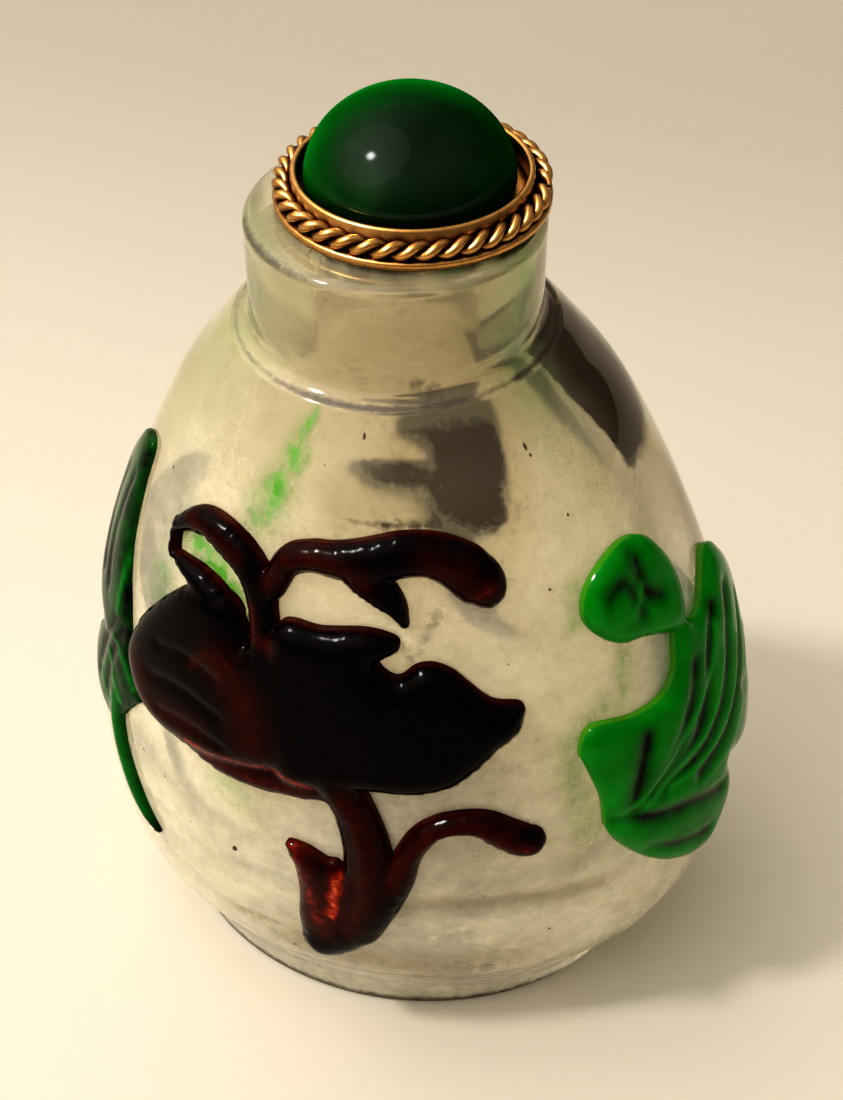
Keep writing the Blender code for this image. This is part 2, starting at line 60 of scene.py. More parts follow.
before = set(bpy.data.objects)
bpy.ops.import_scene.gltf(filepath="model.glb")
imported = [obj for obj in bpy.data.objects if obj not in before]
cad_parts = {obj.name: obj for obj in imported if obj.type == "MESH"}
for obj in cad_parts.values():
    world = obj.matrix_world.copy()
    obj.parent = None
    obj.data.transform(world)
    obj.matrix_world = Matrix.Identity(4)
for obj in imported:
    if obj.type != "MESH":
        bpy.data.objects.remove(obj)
CAD_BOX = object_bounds()

MM = 0.001

# Sizes that the frame gives
BOTTLE_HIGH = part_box("glass_bottle")[1]
LIP_RISE = BOTTLE_HIGH.z
BODY_HALF_WIDTH = BOTTLE_HIGH.x
COLLAR_LOW, COLLAR_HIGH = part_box("gilt_collar")
STONE_LOW, STONE_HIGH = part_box("green_cabochon")

# Outside of the bottle
NECK_HEIGHT = 8.75 * MM
BODY_HEIGHT = LIP_RISE - NECK_HEIGHT
BODY_DEPTH_SHARE = 0.785  # depth over width at the belly
FOOT_HEIGHT = 1.2 * MM
FOOT_HALF_WIDTH = 20.4 * MM
FOOT_DEPTH_SHARE = 0.865
FOOT_ROUND = 0.35 * MM
NECK_RADIUS = 10.35 * MM
NECK_BASE_RADIUS = 11.7 * MM
NECK_FILLET_HEIGHT = 1.5 * MM
NECK_FILLET_POWER = 2.6  # how quickly the shoulder's flare dies out up the neck
NECK_SHIFT_X = -0.95 * MM
NECK_SHIFT_Y = -0.2 * MM
LIP_ROUND = 0.8 * MM
SHOULDER_START = 0.45  # share of the wall's height where its oval starts to turn round
HEEL_END = 0.07  # share of the wall's height where the foot's oval has gone

# Inside of the bottle
BORE_RADIUS = 5.9 * MM
BORE_ROUND = 0.4 * MM
SIDE_WALL = 5.5 * MM
FRONT_WALL = 4.8 * MM
BOTTOM_WALL = 7.0 * MM

# The reliefs are drawn in degrees round the body and millimetres up it, on a body of this height
DRAWN_HEIGHT = 57.5
GAP = 0.3 * MM  # the frame's clearance under an overlay, filled here
LEFT_LEAF_LIFT = 0.1 * MM  # the left leaf is ground lower, so it starts nearer to the wall
SINK = 0.12 * MM  # how far an overlay's underside is fused into the clear wall
RED_THICKNESS = 1.5 * MM
GREEN_THICKNESS = 1.0 * MM
STEM_THICKNESS = 0.7 * MM
BACK_THICKNESS = 1.2 * MM
RIM_HEIGHT = 0.3 * MM  # least height of the carved glass above its gap
CREST_HEIGHT = 0.12 * MM
# Painted shade: the green overlay is painted darker the deeper a cut
DEEP_CUT = 0.35 * MM  # a cut this deep or deeper is painted as dark as it gets

BODY_PROFILE = (
    (0.018, 0.806), (0.050, 0.872), (0.103, 0.943), (0.174, 0.982), (0.280, 1.000), (0.420, 0.987),
    (0.580, 0.909), (0.740, 0.784), (0.880, 0.642), (0.960, 0.515),
)
HOLLOW_PROFILE = (
    (0.000, 0.10), (0.010, 0.36), (0.040, 0.63), (0.100, 0.85), (0.190, 0.98), (0.310, 1.00),
    (0.500, 0.92), (0.650, 0.80), (0.780, 0.64), (0.880, 0.48), (0.950, 0.35),
)


def linear(colour):
    """An sRGB hex colour as linear red, green, blue and alpha."""
    parts = [int(colour[i:i + 2], 16) / 255 for i in (1, 3, 5)]
    return (*[part / 12.92 if part <= 0.04045 else ((part + 0.055) / 1.055) ** 2.4 for part in parts], 1.0)


# What a user would change


class GlassSettings(bpy.types.PropertyGroup):
    colour: FloatVectorProperty(
        name="Glass colour", description="Tint that each pass through the clear glass's surface gives",
        subtype="COLOR", size=4, min=0, max=1, default=linear("#faf4de"))
    inside_colour: FloatVectorProperty(
        name="Inside colour", description="Colour of the ground inner wall",
        subtype="COLOR", size=4, min=0, max=1, default=linear("#fff8e8"))
    residue_colour: FloatVectorProperty(
        name="Residue colour", description="Colour of the old snuff stain on the inner wall",
        subtype="COLOR", size=4, min=0, max=1, default=linear("#9a8858"))
    wash_colour: FloatVectorProperty(
        name="Wash colour", description="Green left on the clear wall where its overlay was ground away",
        subtype="COLOR", size=4, min=0, max=1, default=linear("#4fae26"))
    # Partly the glass's own olive tinge, partly painted shade along the sides, neck and belly
    amber_and_shade_colour: FloatVectorProperty(
        name="Amber colour", description="Olive tinge of the glass round the shoulders and under the belly",
        subtype="COLOR", size=4, min=0, max=1, default=linear("#8c7420"))
    # Also the colour of the painted shade on the inner wall's right shoulder
    stain_and_shade_colour: FloatVectorProperty(
        name="Stain colour", description="Thick dried snuff on the inner wall's shoulders",
        subtype="COLOR", size=4, min=0, max=1, default=linear("#351f07"))
    # Also painted as shade along the foot's edge and as the darkening on the lip's edge
    dirt_and_shade_colour: FloatVectorProperty(
        name="Dirt colour", description="Dirt rubbed into the corner under the neck and into small chips",
        subtype="COLOR", size=4, min=0, max=1, default=linear("#3a2a12"))
    waviness: FloatProperty(
        name="Waviness", description="How far the polished wall swells and dips",
        unit="LENGTH", subtype="DISTANCE", min=0, default=0.04 * MM)
    segments: IntProperty(
        name="Segments", description="Facets round the body", min=24, max=256, default=208)


class OverlaySettings(bpy.types.PropertyGroup):
    red_deep: FloatVectorProperty(
        name="Deep red", description="Colour of the red overlay where it is thick",
        subtype="COLOR", size=4, min=0, max=1, default=linear("#050101"))
    red_thin: FloatVectorProperty(
        name="Thin red", description="Colour of the red overlay where it is cut thin",
        subtype="COLOR", size=4, min=0, max=1, default=linear("#2c0705"))
    red_edge: FloatVectorProperty(
        name="Red's edge", description="Amber line where the red overlay ends on the clear wall",
        subtype="COLOR", size=4, min=0, max=1, default=linear("#4a2210"))
    # Painted shade: the green overlay's cuts are painted this dark
    green_cut_shade: FloatVectorProperty(
        name="Deep green", description="Colour in the cuts of the green overlay",
        subtype="COLOR", size=4, min=0, max=1, default=linear("#010c03"))
    green_bright: FloatVectorProperty(
        name="Bright green", description="Colour on the lands of the green overlay",
        subtype="COLOR", size=4, min=0, max=1, default=linear("#038015"))
    green_edge: FloatVectorProperty(
        name="Green's edge", description="Yellow line where the green overlay ends on the clear wall",
        subtype="COLOR", size=4, min=0, max=1, default=linear("#7d9a2c"))
    # Painted highlight: the green overlay's crests are painted this light
    green_crest_highlight: FloatVectorProperty(
        name="Green's crests", description="Colour of the sharp crests between the cuts of the green overlay",
        subtype="COLOR", size=4, min=0, max=1, default=linear("#22a034"))
    grain: FloatProperty(
        name="Carving grain", description="Spacing of the points that the reliefs are cut with",
        unit="LENGTH", subtype="DISTANCE", min=0.2 * MM, default=0.36 * MM)
    softness: IntProperty(
        name="Polish", description="Passes that soften the carving", min=0, max=20, default=2)


class StopperSettings(bpy.types.PropertyGroup):
    gilt_colour: FloatVectorProperty(
        name="Gilding", description="Colour of the gilding on the high parts",
        subtype="COLOR", size=4, min=0, max=1, default=linear("#c99a5c"))
    tarnish_colour: FloatVectorProperty(
        name="Tarnish", description="Colour of the copper-brown tarnish in the low parts",
        subtype="COLOR", size=4, min=0, max=1, default=linear("#3a1606"))
    stone_colour: FloatVectorProperty(
        name="Cabochon colour", description="Colour of the cabochon's glass",
        subtype="COLOR", size=4, min=0, max=1, default=linear("#035214"))
    rope_radius: FloatProperty(
        name="Rope radius", description="Radius of the twisted wire pair",
        unit="LENGTH", subtype="DISTANCE", min=0.2 * MM, default=0.68 * MM)
    rope_twists: IntProperty(
        name="Rope twists", description="Turns of the wire pair in the ring", min=4, max=60, default=19)


class StageSettings(bpy.types.PropertyGroup):
    floor_colour: FloatVectorProperty(
        name="Floor colour", description="Colour of the plain floor",
        subtype="COLOR", size=4, min=0, max=1, default=linear("#cbc4b7"))
    # Painted shade of the floor far behind the bottle
    back_shade_colour: FloatVectorProperty(
        name="Back colour", description="Colour of the floor far behind the bottle",
        subtype="COLOR", size=4, min=0, max=1, default=linear("#a39c8f"))
    sky_strength: FloatProperty(
        name="Sky strength", description="Brightness of the soft light all round", min=0, default=1.25)
    lamp_power: FloatProperty(
        name="Lamp power", description="Power that the lamps on the left are set from",
        subtype="POWER", unit="POWER", min=0, default=0.88)
    lens: FloatProperty(
        name="Lens", description="Focal length on a 36 mm frame", subtype="DISTANCE_CAMERA",
        unit="CAMERA", min=10, default=60.39)
    distance: FloatProperty(
        name="Distance", description="From the camera to the middle of the bottle",
        unit="LENGTH", subtype="DISTANCE", min=0.05, default=144.79 * MM)
    rise: FloatProperty(
        name="Rise", description="Angle of the camera above the floor", unit="ROTATION",
        subtype="ANGLE", default=0.7323)
    turn: FloatProperty(
        name="Turn", description="Angle of the camera round the bottle", unit="ROTATION",
        subtype="ANGLE", default=0.2351)
    roll: FloatProperty(
        name="Roll", description="Lean of the camera about its own axis", unit="ROTATION",
        subtype="ANGLE", default=-0.00307)


# Curves and solids


def smooth(points, steps, closed=False):
    """A Catmull-Rom curve through the points, with this many steps to a span."""
    points = np.array(points, float)
    count = len(points)
    curve = []
    for i in range(count if closed else count - 1):
        around = [(i + k) % count if closed else min(max(i + k, 0), count - 1) for k in (-1, 0, 1, 2)]
        before, start, end, after = points[around]
        for t in np.arange(steps) / steps:
            bend = 2 * before - 5 * start + 4 * end - after
            twist = 3 * start - before - 3 * end + after
            curve.append(start + 0.5 * ((end - before) * t + bend * t**2 + twist * t**3))
    if not closed:
        curve.append(points[-1])
    return np.array(curve)


def profile_curve():
    """The body's wall in section, as rises and half-widths, from the foot to the neck."""
    wall = BODY_HEIGHT - FOOT_HEIGHT
    middle = [(FOOT_HEIGHT + share * wall, width * BODY_HALF_WIDTH) for share, width in BODY_PROFILE]
    ends = (FOOT_HEIGHT, FOOT_HALF_WIDTH), (BODY_HEIGHT, NECK_BASE_RADIUS)
    return smooth([ends[0], *middle, ends[1]], 16).T


WALL_RISES, WALL_WIDTHS = profile_curve()


def wall_blends(rise):
    """How far the body's section has turned from a flat oval into the neck's circle and the foot's oval."""
    share = np.clip((rise - FOOT_HEIGHT) / (BODY_HEIGHT - FOOT_HEIGHT), 0, 1)
    to_neck = np.clip((share - SHOULDER_START) / (1 - SHOULDER_START), 0, 1) ** 2
    to_foot = np.clip(1 - share / HEEL_END, 0, 1) ** 2
    return to_neck, to_foot


def wall_section(rise):
    """Half-width, half-depth and middle of the body's oval section at this rise."""
    width = np.interp(rise, WALL_RISES, WALL_WIDTHS)
    to_neck, to_foot = wall_blends(rise)
    flat = BODY_DEPTH_SHARE + (1 - BODY_DEPTH_SHARE) * to_neck
    flat = flat + (FOOT_DEPTH_SHARE - BODY_DEPTH_SHARE) * to_foot
    return width, width * flat, NECK_SHIFT_X * to_neck, NECK_SHIFT_Y * to_neck


def on_wall(turn, rise):
    """Points on the body's wall, turned this far round from the middle of the front."""
    width, depth, x, y = wall_section(rise)
    return np.stack([x + width * np.sin(turn), y - depth * np.cos(turn), rise], axis=-1)


def off_wall(turn, rise, lift):
    """Points lifted off the body's wall along its normal."""
    step = 0.002
    across = on_wall(turn + step, rise) - on_wall(turn - step, rise)
    up = on_wall(turn, rise + step * BODY_HEIGHT) - on_wall(turn, rise - step * BODY_HEIGHT)
    normal = np.cross(across, up)
    normal = normal / np.linalg.norm(normal, axis=-1, keepdims=True)
    return on_wall(turn, rise) + normal * np.reshape(lift, (-1, 1))


def oval(half_width, half_depth, x, y, z, segments):
    """A ring of points round this middle, from the front round by the right."""
    turns = np.arange(segments) * 2 * math.pi / segments
    heights = np.broadcast_to(z, turns.shape)
    return np.stack([x + half_width * np.sin(turns), y - half_depth * np.cos(turns), heights], axis=-1)


def arc(radius, start, end, steps):
    """(cosine, sine) pairs of an arc, times its radius."""
    turns = np.radians(np.linspace(start, end, steps))
    return radius * np.stack([np.cos(turns), np.sin(turns)], axis=-1)


def new_piece(name, points, faces, materials, sharp_angle=40, face_materials=None, values=None):
    """A piece of the object, riding on the frame's body, shaded smooth but for its sharp edges."""
    mesh = bpy.data.meshes.new(name)
    mesh.from_pydata([tuple(point) for point in points], [], [tuple(face) for face in faces])
    for key, value in (values or {}).items():
        layer = mesh.attributes.new(key, "FLOAT", "POINT")
        layer.data.foreach_set("value", np.asarray(value, np.float32))
    for material in materials:
        mesh.materials.append(material)
    if face_materials is not None:
        mesh.polygons.foreach_set("material_index", np.asarray(face_materials, np.int32))
    shape = bmesh.new()
    shape.from_mesh(mesh)
    bmesh.ops.recalc_face_normals(shape, faces=shape.faces)
    shape.to_mesh(mesh)
    shape.free()
    mesh.shade_smooth()
    mesh.set_sharp_from_angle(angle=math.radians(sharp_angle))
    piece = bpy.data.objects.new(name, mesh)
    bpy.context.scene.collection.objects.link(piece)
    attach(piece, "root")
    return piece


def joined(bodies):
    """Points and faces of several bodies as one."""
    points, faces = [], []
    for more, more_faces in bodies:
        shift = sum(len(part) for part in points)
        points.append(more)
        faces += [tuple(i + shift for i in face) for face in more_faces]
    return np.concatenate(points), faces


def loft(rings):
    """Points and faces of a closed body through rings of equally many points, with a fan over each end."""
    count = len(rings[0])
    points = np.concatenate([*rings, [np.mean(rings[0], axis=0)], [np.mean(rings[-1], axis=0)]])
    faces = []
    for ring in range(len(rings) - 1):
        for i in range(count):
            j = (i + 1) % count
            low, high = ring * count, (ring + 1) * count
            faces.append((low + i, low + j, high + j, high + i))
    first, last = len(points) - 2, len(points) - 1
    top = (len(rings) - 1) * count
    for i in range(count):
        j = (i + 1) % count
        faces.append((first, j, i))
        faces.append((last, top + i, top + j))
    return points, faces


# Materials


def add_node(tree, kind, inputs=None, stops=None, **settings):
    """A node with its settings, its sockets set or linked, and the stops of its ramp if it has one."""
    node = tree.nodes.new(kind)
    for name, value in settings.items():
        setattr(node, name, value)
    for name, value in (inputs or {}).items():
        if isinstance(value, bpy.types.NodeSocket):
            tree.links.new(value, node.inputs[name])
        else:
            node.inputs[name].default_value = value
    for i, (position, colour) in enumerate(stops or ()):
        elements = node.color_ramp.elements
        stop = elements[i] if i < 2 else elements.new(position)
        stop.position = position
        stop.color = colour
    return node


def new_material(name):
    """An empty material, its node tree and its output's node."""
    material = bpy.data.materials.new(name)
    material.use_nodes = True
    tree = material.node_tree
    tree.nodes.clear()
    return material, tree, tree.nodes.new("ShaderNodeOutputMaterial")


def polished_clear_glass(settings):
    """Soda-lime glass, polished on the wheel: see-through, with slow waves, green ghosts, an olive tinge that
    is partly painted shade, old dirt, and painted shade along the foot's edge.
    """
    material, tree, output = new_material("polished_clear_glass")
    place = add_node(tree, "ShaderNodeTexCoord").outputs["Object"]
    # Waves of a hand-polished wall are some 6 mm apart, and wheel marks about 0.4 mm
    waves = add_node(tree, "ShaderNodeTexNoise", {"Vector": place, "Scale": 170.0, "Detail": 1.0})
    marks = add_node(tree, "ShaderNodeTexNoise", {"Vector": place, "Scale": 2500.0, "Detail": 2.0})
    bump = add_node(tree, "ShaderNodeBump", {
        "Height": waves.outputs["Fac"], "Strength": 0.25, "Distance": 0.0003,
    })
    fine = add_node(tree, "ShaderNodeBump", {
        "Height": marks.outputs["Fac"], "Strength": 0.05, "Distance": 0.00002,
        "Normal": bump.outputs["Normal"],
    })
    # Green that was ground away leaves a wash, mottled in patches about 1.4 mm wide
    wash = add_node(tree, "ShaderNodeAttribute", attribute_name="green_wash")
    mottle = add_node(tree, "ShaderNodeTexNoise", {
        "Vector": place, "Scale": 700.0, "Detail": 3.0, "Roughness": 0.6,
    })
    patchy = add_node(tree, "ShaderNodeMapRange", {
        "Value": mottle.outputs["Fac"], "From Min": 0.4, "From Max": 0.55, "To Min": 0.55, "To Max": 1.0,
    })
    washed = add_node(tree, "ShaderNodeMath", {
        0: wash.outputs["Fac"], 1: patchy.outputs[0],
    }, operation="MULTIPLY")
    # An olive tinge, partly the glass's own and partly painted shade
    amber_and_shade = add_node(tree, "ShaderNodeAttribute", attribute_name="amber_and_shade")
    tinged = add_node(tree, "ShaderNodeMix", {
        "Factor": amber_and_shade.outputs["Fac"], 6: settings.colour, 7: settings.amber_and_shade_colour,
    }, data_type="RGBA")
    colour = add_node(tree, "ShaderNodeMix", {
        "Factor": washed.outputs[0], 6: tinged.outputs[2], 7: settings.wash_colour,
    }, data_type="RGBA")
    # Fine scratches frost the wall, thickest at the heel, in clouds some 6 mm wide with flecks about 1.7 mm
    frost = add_node(tree, "ShaderNodeAttribute", attribute_name="frost")
    streaky = add_node(tree, "ShaderNodeMapRange", {
        "Value": waves.outputs["Fac"], "From Min": 0.3, "From Max": 0.7, "To Min": 0.8, "To Max": 1.2,
    })
    scratches = add_node(tree, "ShaderNodeTexNoise", {
        "Vector": place, "Scale": 600.0, "Detail": 7.0, "Roughness": 0.7, "Distortion": 0.3,
    })
    rubbed = add_node(tree, "ShaderNodeMapRange", {
        "Value": scratches.outputs["Fac"], "From Min": 0.3, "From Max": 0.7, "To Min": 0.75, "To Max": 1.25,
    })
    worn = add_node(tree, "ShaderNodeMath", {
        0: streaky.outputs[0], 1: rubbed.outputs[0],
    }, operation="MULTIPLY")
    frosted = add_node(tree, "ShaderNodeMath", {
        0: frost.outputs["Fac"], 1: worn.outputs[0],
    }, operation="MULTIPLY")
    covered = add_node(tree, "ShaderNodeMath", {
        0: washed.outputs[0], 1: frosted.outputs[0],
    }, operation="MAXIMUM")
    share = add_node(tree, "ShaderNodeMath", {0: covered.outputs[0], 1: 0.58}, operation="MULTIPLY")
    clear = add_node(tree, "ShaderNodeBsdfPrincipled", {
        "Base Color": colour.outputs[2], "Transmission Weight": 0.96, "IOR": 1.5, "Roughness": 0.03,
        "Normal": fine.outputs["Normal"],
    })
    film = add_node(tree, "ShaderNodeBsdfPrincipled", {
        "Base Color": colour.outputs[2], "IOR": 1.5, "Roughness": 0.03, "Normal": fine.outputs["Normal"],
    })
    glass = add_node(tree, "ShaderNodeMixShader", {
        0: share.outputs[0], 1: clear.outputs[0], 2: film.outputs[0],
    })
    # Dirt, and the painted shade along the foot's edge, are held in specks about 0.7 mm wide
    grime_and_shade = add_node(tree, "ShaderNodeAttribute", attribute_name="grime_and_shade")
    speckle = add_node(tree, "ShaderNodeTexNoise", {
        "Vector": place, "Scale": 1500.0, "Detail": 4.0, "Roughness": 0.7,
    })
    cover = add_node(tree, "ShaderNodeMath", {
        0: grime_and_shade.outputs["Fac"], 1: speckle.outputs["Fac"],
    }, operation="MULTIPLY")
    sharp = add_node(tree, "ShaderNodeMapRange", {
        "Value": cover.outputs[0], "From Min": 0.16, "From Max": 0.4, "To Min": 0.0, "To Max": 0.85,
    })
    dirt = add_node(tree, "ShaderNodeBsdfPrincipled", {"Base Color": settings.dirt_and_shade_colour, "Roughness": 0.7})
    both = add_node(tree, "ShaderNodeMixShader", {
        0: sharp.outputs[0], 1: glass.outputs[0], 2: dirt.outputs[0],
    })
    tree.links.new(both.outputs[0], output.inputs["Surface"])
    return material


def ground_inner_glass(settings):
    """The same glass, ground out inside: see-through, a little milky, with pale brown clouds of snuff, and
    dark crusts that are partly painted shade.
    """
    material, tree, output = new_material("ground_inner_glass")
    place = add_node(tree, "ShaderNodeTexCoord").outputs["Object"]
    # Stains are clouds some 6 mm wide, with specks about 0.4 mm
    clouds = add_node(tree, "ShaderNodeTexNoise", {
        "Vector": place, "Scale": 160.0, "Detail": 5.0, "Roughness": 0.6,
    })
    specks = add_node(tree, "ShaderNodeTexNoise", {"Vector": place, "Scale": 2600.0, "Detail": 2.0})
    both = add_node(tree, "ShaderNodeMath", {
        0: clouds.outputs["Fac"], 1: specks.outputs["Fac"],
    }, operation="MULTIPLY")
    stain = add_node(tree, "ShaderNodeMapRange", {
        "Value": both.outputs[0], "From Min": 0.26, "From Max": 0.42, "To Min": 0.0, "To Max": 0.6,
    })
    colour = add_node(tree, "ShaderNodeMix", {
        "Factor": stain.outputs[0], 6: settings.inside_colour, 7: settings.residue_colour,
    }, data_type="RGBA")
    glass = add_node(tree, "ShaderNodeBsdfPrincipled", {
        "Base Color": colour.outputs[2], "Transmission Weight": 0.87, "IOR": 1.5, "Roughness": 0.12,
    })
    # Thick stains are crusts, partly painted shade, broken up by flakes about 0.7 mm wide
    crust = add_node(tree, "ShaderNodeAttribute", attribute_name="residue_and_shade")
    flakes = add_node(tree, "ShaderNodeTexNoise", {
        "Vector": place, "Scale": 1500.0, "Detail": 5.0, "Roughness": 0.7,
    })
    broken = add_node(tree, "ShaderNodeMath", {
        0: crust.outputs["Fac"], 1: flakes.outputs["Fac"],
    }, operation="ADD")
    thick = add_node(tree, "ShaderNodeMapRange", {
        "Value": broken.outputs[0], "From Min": 0.92, "From Max": 1.25, "To Min": 0.0, "To Max": 1.0,
    })
    stained = add_node(tree, "ShaderNodeBsdfPrincipled", {
        "Base Color": settings.stain_and_shade_colour, "Roughness": 0.8, "Specular IOR Level": 0.2,
    })
    coated = add_node(tree, "ShaderNodeMixShader", {
        0: thick.outputs[0], 1: glass.outputs[0], 2: stained.outputs[0],
    })
    tree.links.new(coated.outputs[0], output.inputs["Surface"])
    return material


def rubbed_in_dirt(settings):
    """Old dirt packed into pits: dull and dark brown, in clots about 0.25 mm wide."""
    material, tree, output = new_material("rubbed_in_dirt")
    place = add_node(tree, "ShaderNodeTexCoord").outputs["Object"]
    clots = add_node(tree, "ShaderNodeTexNoise", {"Vector": place, "Scale": 4000.0, "Detail": 2.0})
    colour = add_node(tree, "ShaderNodeMix", {
        "Factor": clots.outputs["Fac"], 6: settings.dirt_and_shade_colour, 7: settings.stain_and_shade_colour,
    }, data_type="RGBA")
    dirt = add_node(tree, "ShaderNodeBsdfPrincipled", {"Base Color": colour.outputs[2], "Roughness": 0.8})
    tree.links.new(dirt.outputs[0], output.inputs["Surface"])
    return material


def red_overlay_glass(settings):
    """Ruby-coloured overlay glass, wheel-cut and polished: near black where thick, maroon where thin, with a
    painted glow where hollowed or drawn thin.
    """
    material, tree, output = new_material("red_overlay_glass")
    place = add_node(tree, "ShaderNodeTexCoord").outputs["Object"]
    depth = add_node(tree, "ShaderNodeAttribute", attribute_name="thickness")
    # The painted glow where the red is hollowed or drawn thin
    light = add_node(tree, "ShaderNodeAttribute", attribute_name="painted_glow")
    # The colour of the melt is uneven in clouds about 2.2 mm wide
    clouds = add_node(tree, "ShaderNodeTexNoise", {
        "Vector": place, "Scale": 450.0, "Detail": 4.0, "Roughness": 0.6,
    })
    shift = add_node(tree, "ShaderNodeMapRange", {
        "Value": clouds.outputs["Fac"], "From Min": 0.3, "From Max": 0.7, "To Min": -0.1, "To Max": 0.1,
    })
    level = add_node(tree, "ShaderNodeMath", {0: depth.outputs["Fac"], 1: shift.outputs[0]}, operation="ADD")
    ramp = add_node(tree, "ShaderNodeValToRGB", {"Fac": level.outputs[0]}, stops=(
        (0.0, settings.red_edge), (0.12, settings.red_thin), (0.34, settings.red_deep),
    ))
    # Painted glow: where it is hollowed or drawn thin the glass is painted brighter, in streaks about 0.7 mm
    # apart
    streaks = add_node(tree, "ShaderNodeTexNoise", {"Vector": place, "Scale": 1400.0, "Detail": 3.0})
    uneven = add_node(tree, "ShaderNodeMapRange", {
        "Value": streaks.outputs["Fac"], "From Min": 0.3, "From Max": 0.7, "To Min": 0.55, "To Max": 1.15,
    })
    lit = add_node(tree, "ShaderNodeMath", {
        0: light.outputs["Fac"], 1: uneven.outputs[0],
    }, operation="MULTIPLY")
    painted_glow = add_node(tree, "ShaderNodeValToRGB", {"Fac": lit.outputs[0]}, stops=(
        (0.0, linear("#000000")), (0.45, linear("#3c0a04")),
        (0.75, linear("#8a2410")), (1.0, linear("#c8653a")),
    ))
    colour = add_node(tree, "ShaderNodeMix", {
        "Factor": 1.0, 6: ramp.outputs["Color"], 7: painted_glow.outputs["Color"],
    }, data_type="RGBA", blend_type="ADD")
    bump = add_node(tree, "ShaderNodeBump", {
        "Height": streaks.outputs["Fac"], "Strength": 0.3, "Distance": 0.00004,
    })
    glass = add_node(tree, "ShaderNodeBsdfPrincipled", {
        "Base Color": colour.outputs[2], "IOR": 1.3, "Roughness": 0.12, "Specular IOR Level": 0.15,
        "Normal": bump.outputs["Normal"],
    })
    tree.links.new(glass.outputs[0], output.inputs["Surface"])
    return material


def green_overlay_glass(settings, name, darker):
    """Emerald-coloured overlay glass, wheel-cut and polished: bright on its lands, painted near black as
    shade in its cuts, with painted highlights on its crests.
    """
    material, tree, output = new_material(name)
    place = add_node(tree, "ShaderNodeTexCoord").outputs["Object"]
    depth = add_node(tree, "ShaderNodeAttribute", attribute_name="thickness")
    # Painted shade in the cuts and painted highlights on the crests
    cuts = add_node(tree, "ShaderNodeAttribute", attribute_name="cut_shade")
    light = add_node(tree, "ShaderNodeAttribute", attribute_name="painted_glow")
    # The melt has clouds about 2.4 mm wide, and its polish has streaks about 0.5 mm apart
    clouds = add_node(tree, "ShaderNodeTexNoise", {
        "Vector": place, "Scale": 420.0, "Detail": 4.0, "Roughness": 0.6,
    })
    mottle = add_node(tree, "ShaderNodeMapRange", {
        "Value": clouds.outputs["Fac"], "From Min": 0.3, "From Max": 0.7,
        "To Min": darker, "To Max": darker + 0.4,
    })
    deep = add_node(tree, "ShaderNodeMath", {
        0: cuts.outputs["Fac"], 1: mottle.outputs[0],
    }, operation="ADD", use_clamp=True)
    colour = add_node(tree, "ShaderNodeMix", {
        "Factor": deep.outputs[0], 6: settings.green_bright, 7: settings.green_cut_shade,
    }, data_type="RGBA")
    # Painted highlight on the crests
    crest = add_node(tree, "ShaderNodeMath", {0: light.outputs["Fac"], 1: 0.6}, operation="MULTIPLY")
    crested = add_node(tree, "ShaderNodeMix", {
        "Factor": crest.outputs[0], 6: colour.outputs[2], 7: settings.green_crest_highlight,
    }, data_type="RGBA")
    thin = add_node(tree, "ShaderNodeMapRange", {
        "Value": depth.outputs["Fac"], "From Min": 0.0, "From Max": 0.22, "To Min": 0.9, "To Max": 0.0,
    })
    edged = add_node(tree, "ShaderNodeMix", {
        "Factor": thin.outputs[0], 6: crested.outputs[2], 7: settings.green_edge,
    }, data_type="RGBA")
    streaks = add_node(tree, "ShaderNodeTexNoise", {"Vector": place, "Scale": 1900.0, "Detail": 3.0})
    bump = add_node(tree, "ShaderNodeBump", {
        "Height": streaks.outputs["Fac"], "Strength": 0.35, "Distance": 0.00005,
    })
    glass = add_node(tree, "ShaderNodeBsdfPrincipled", {
        "Base Color": edged.outputs[2], "IOR": 1.3, "Roughness": 0.1, "Specular IOR Level": 0.2,
        "Normal": bump.outputs["Normal"],
    })
    tree.links.new(glass.outputs[0], output.inputs["Surface"])
    return material


def worn_gilt_brass(settings):
    """Brass, fire-gilt and worn by handling: bright gold on the high parts, copper-brown tarnish below."""
    material, tree, output = new_material("worn_gilt_brass")
    place = add_node(tree, "ShaderNodeTexCoord").outputs["Object"]
    # Wear and tarnish are patchy about 1.1 mm across, and tarnish fills gaps narrower than 0.6 mm
    clouds = add_node(tree, "ShaderNodeTexNoise", {
        "Vector": place, "Scale": 900.0, "Detail": 5.0, "Roughness": 0.65,
    })
    hollows = add_node(tree, "ShaderNodeAmbientOcclusion", {"Distance": 0.0006}, samples=8)
    open_air = add_node(tree, "ShaderNodeMath", {0: hollows.outputs["AO"], 1: 2.2}, operation="POWER")
    worn = add_node(tree, "ShaderNodeMath", {
        0: open_air.outputs[0], 1: clouds.outputs["Fac"],
    }, operation="MULTIPLY")
    level = add_node(tree, "ShaderNodeMapRange", {
        "Value": worn.outputs[0], "From Min": 0.12, "From Max": 0.5, "To Min": 0.0, "To Max": 1.0,
    })
    colour = add_node(tree, "ShaderNodeMix", {
        "Factor": level.outputs[0], 6: settings.tarnish_colour, 7: settings.gilt_colour,
    }, data_type="RGBA")
    dull = add_node(tree, "ShaderNodeMapRange", {
        "Value": level.outputs[0], "From Min": 0.0, "From Max": 1.0, "To Min": 0.5, "To Max": 0.22,
    })
    bump = add_node(tree, "ShaderNodeBump", {
        "Height": clouds.outputs["Fac"], "Strength": 0.4, "Distance": 0.00008,
    })
    metal = add_node(tree, "ShaderNodeBsdfPrincipled", {
        "Base Color": colour.outputs[2], "Metallic": 1.0, "Roughness": dull.outputs[0],
        "Normal": bump.outputs["Normal"],
    })
    tree.links.new(metal.outputs[0], output.inputs["Surface"])
    return material


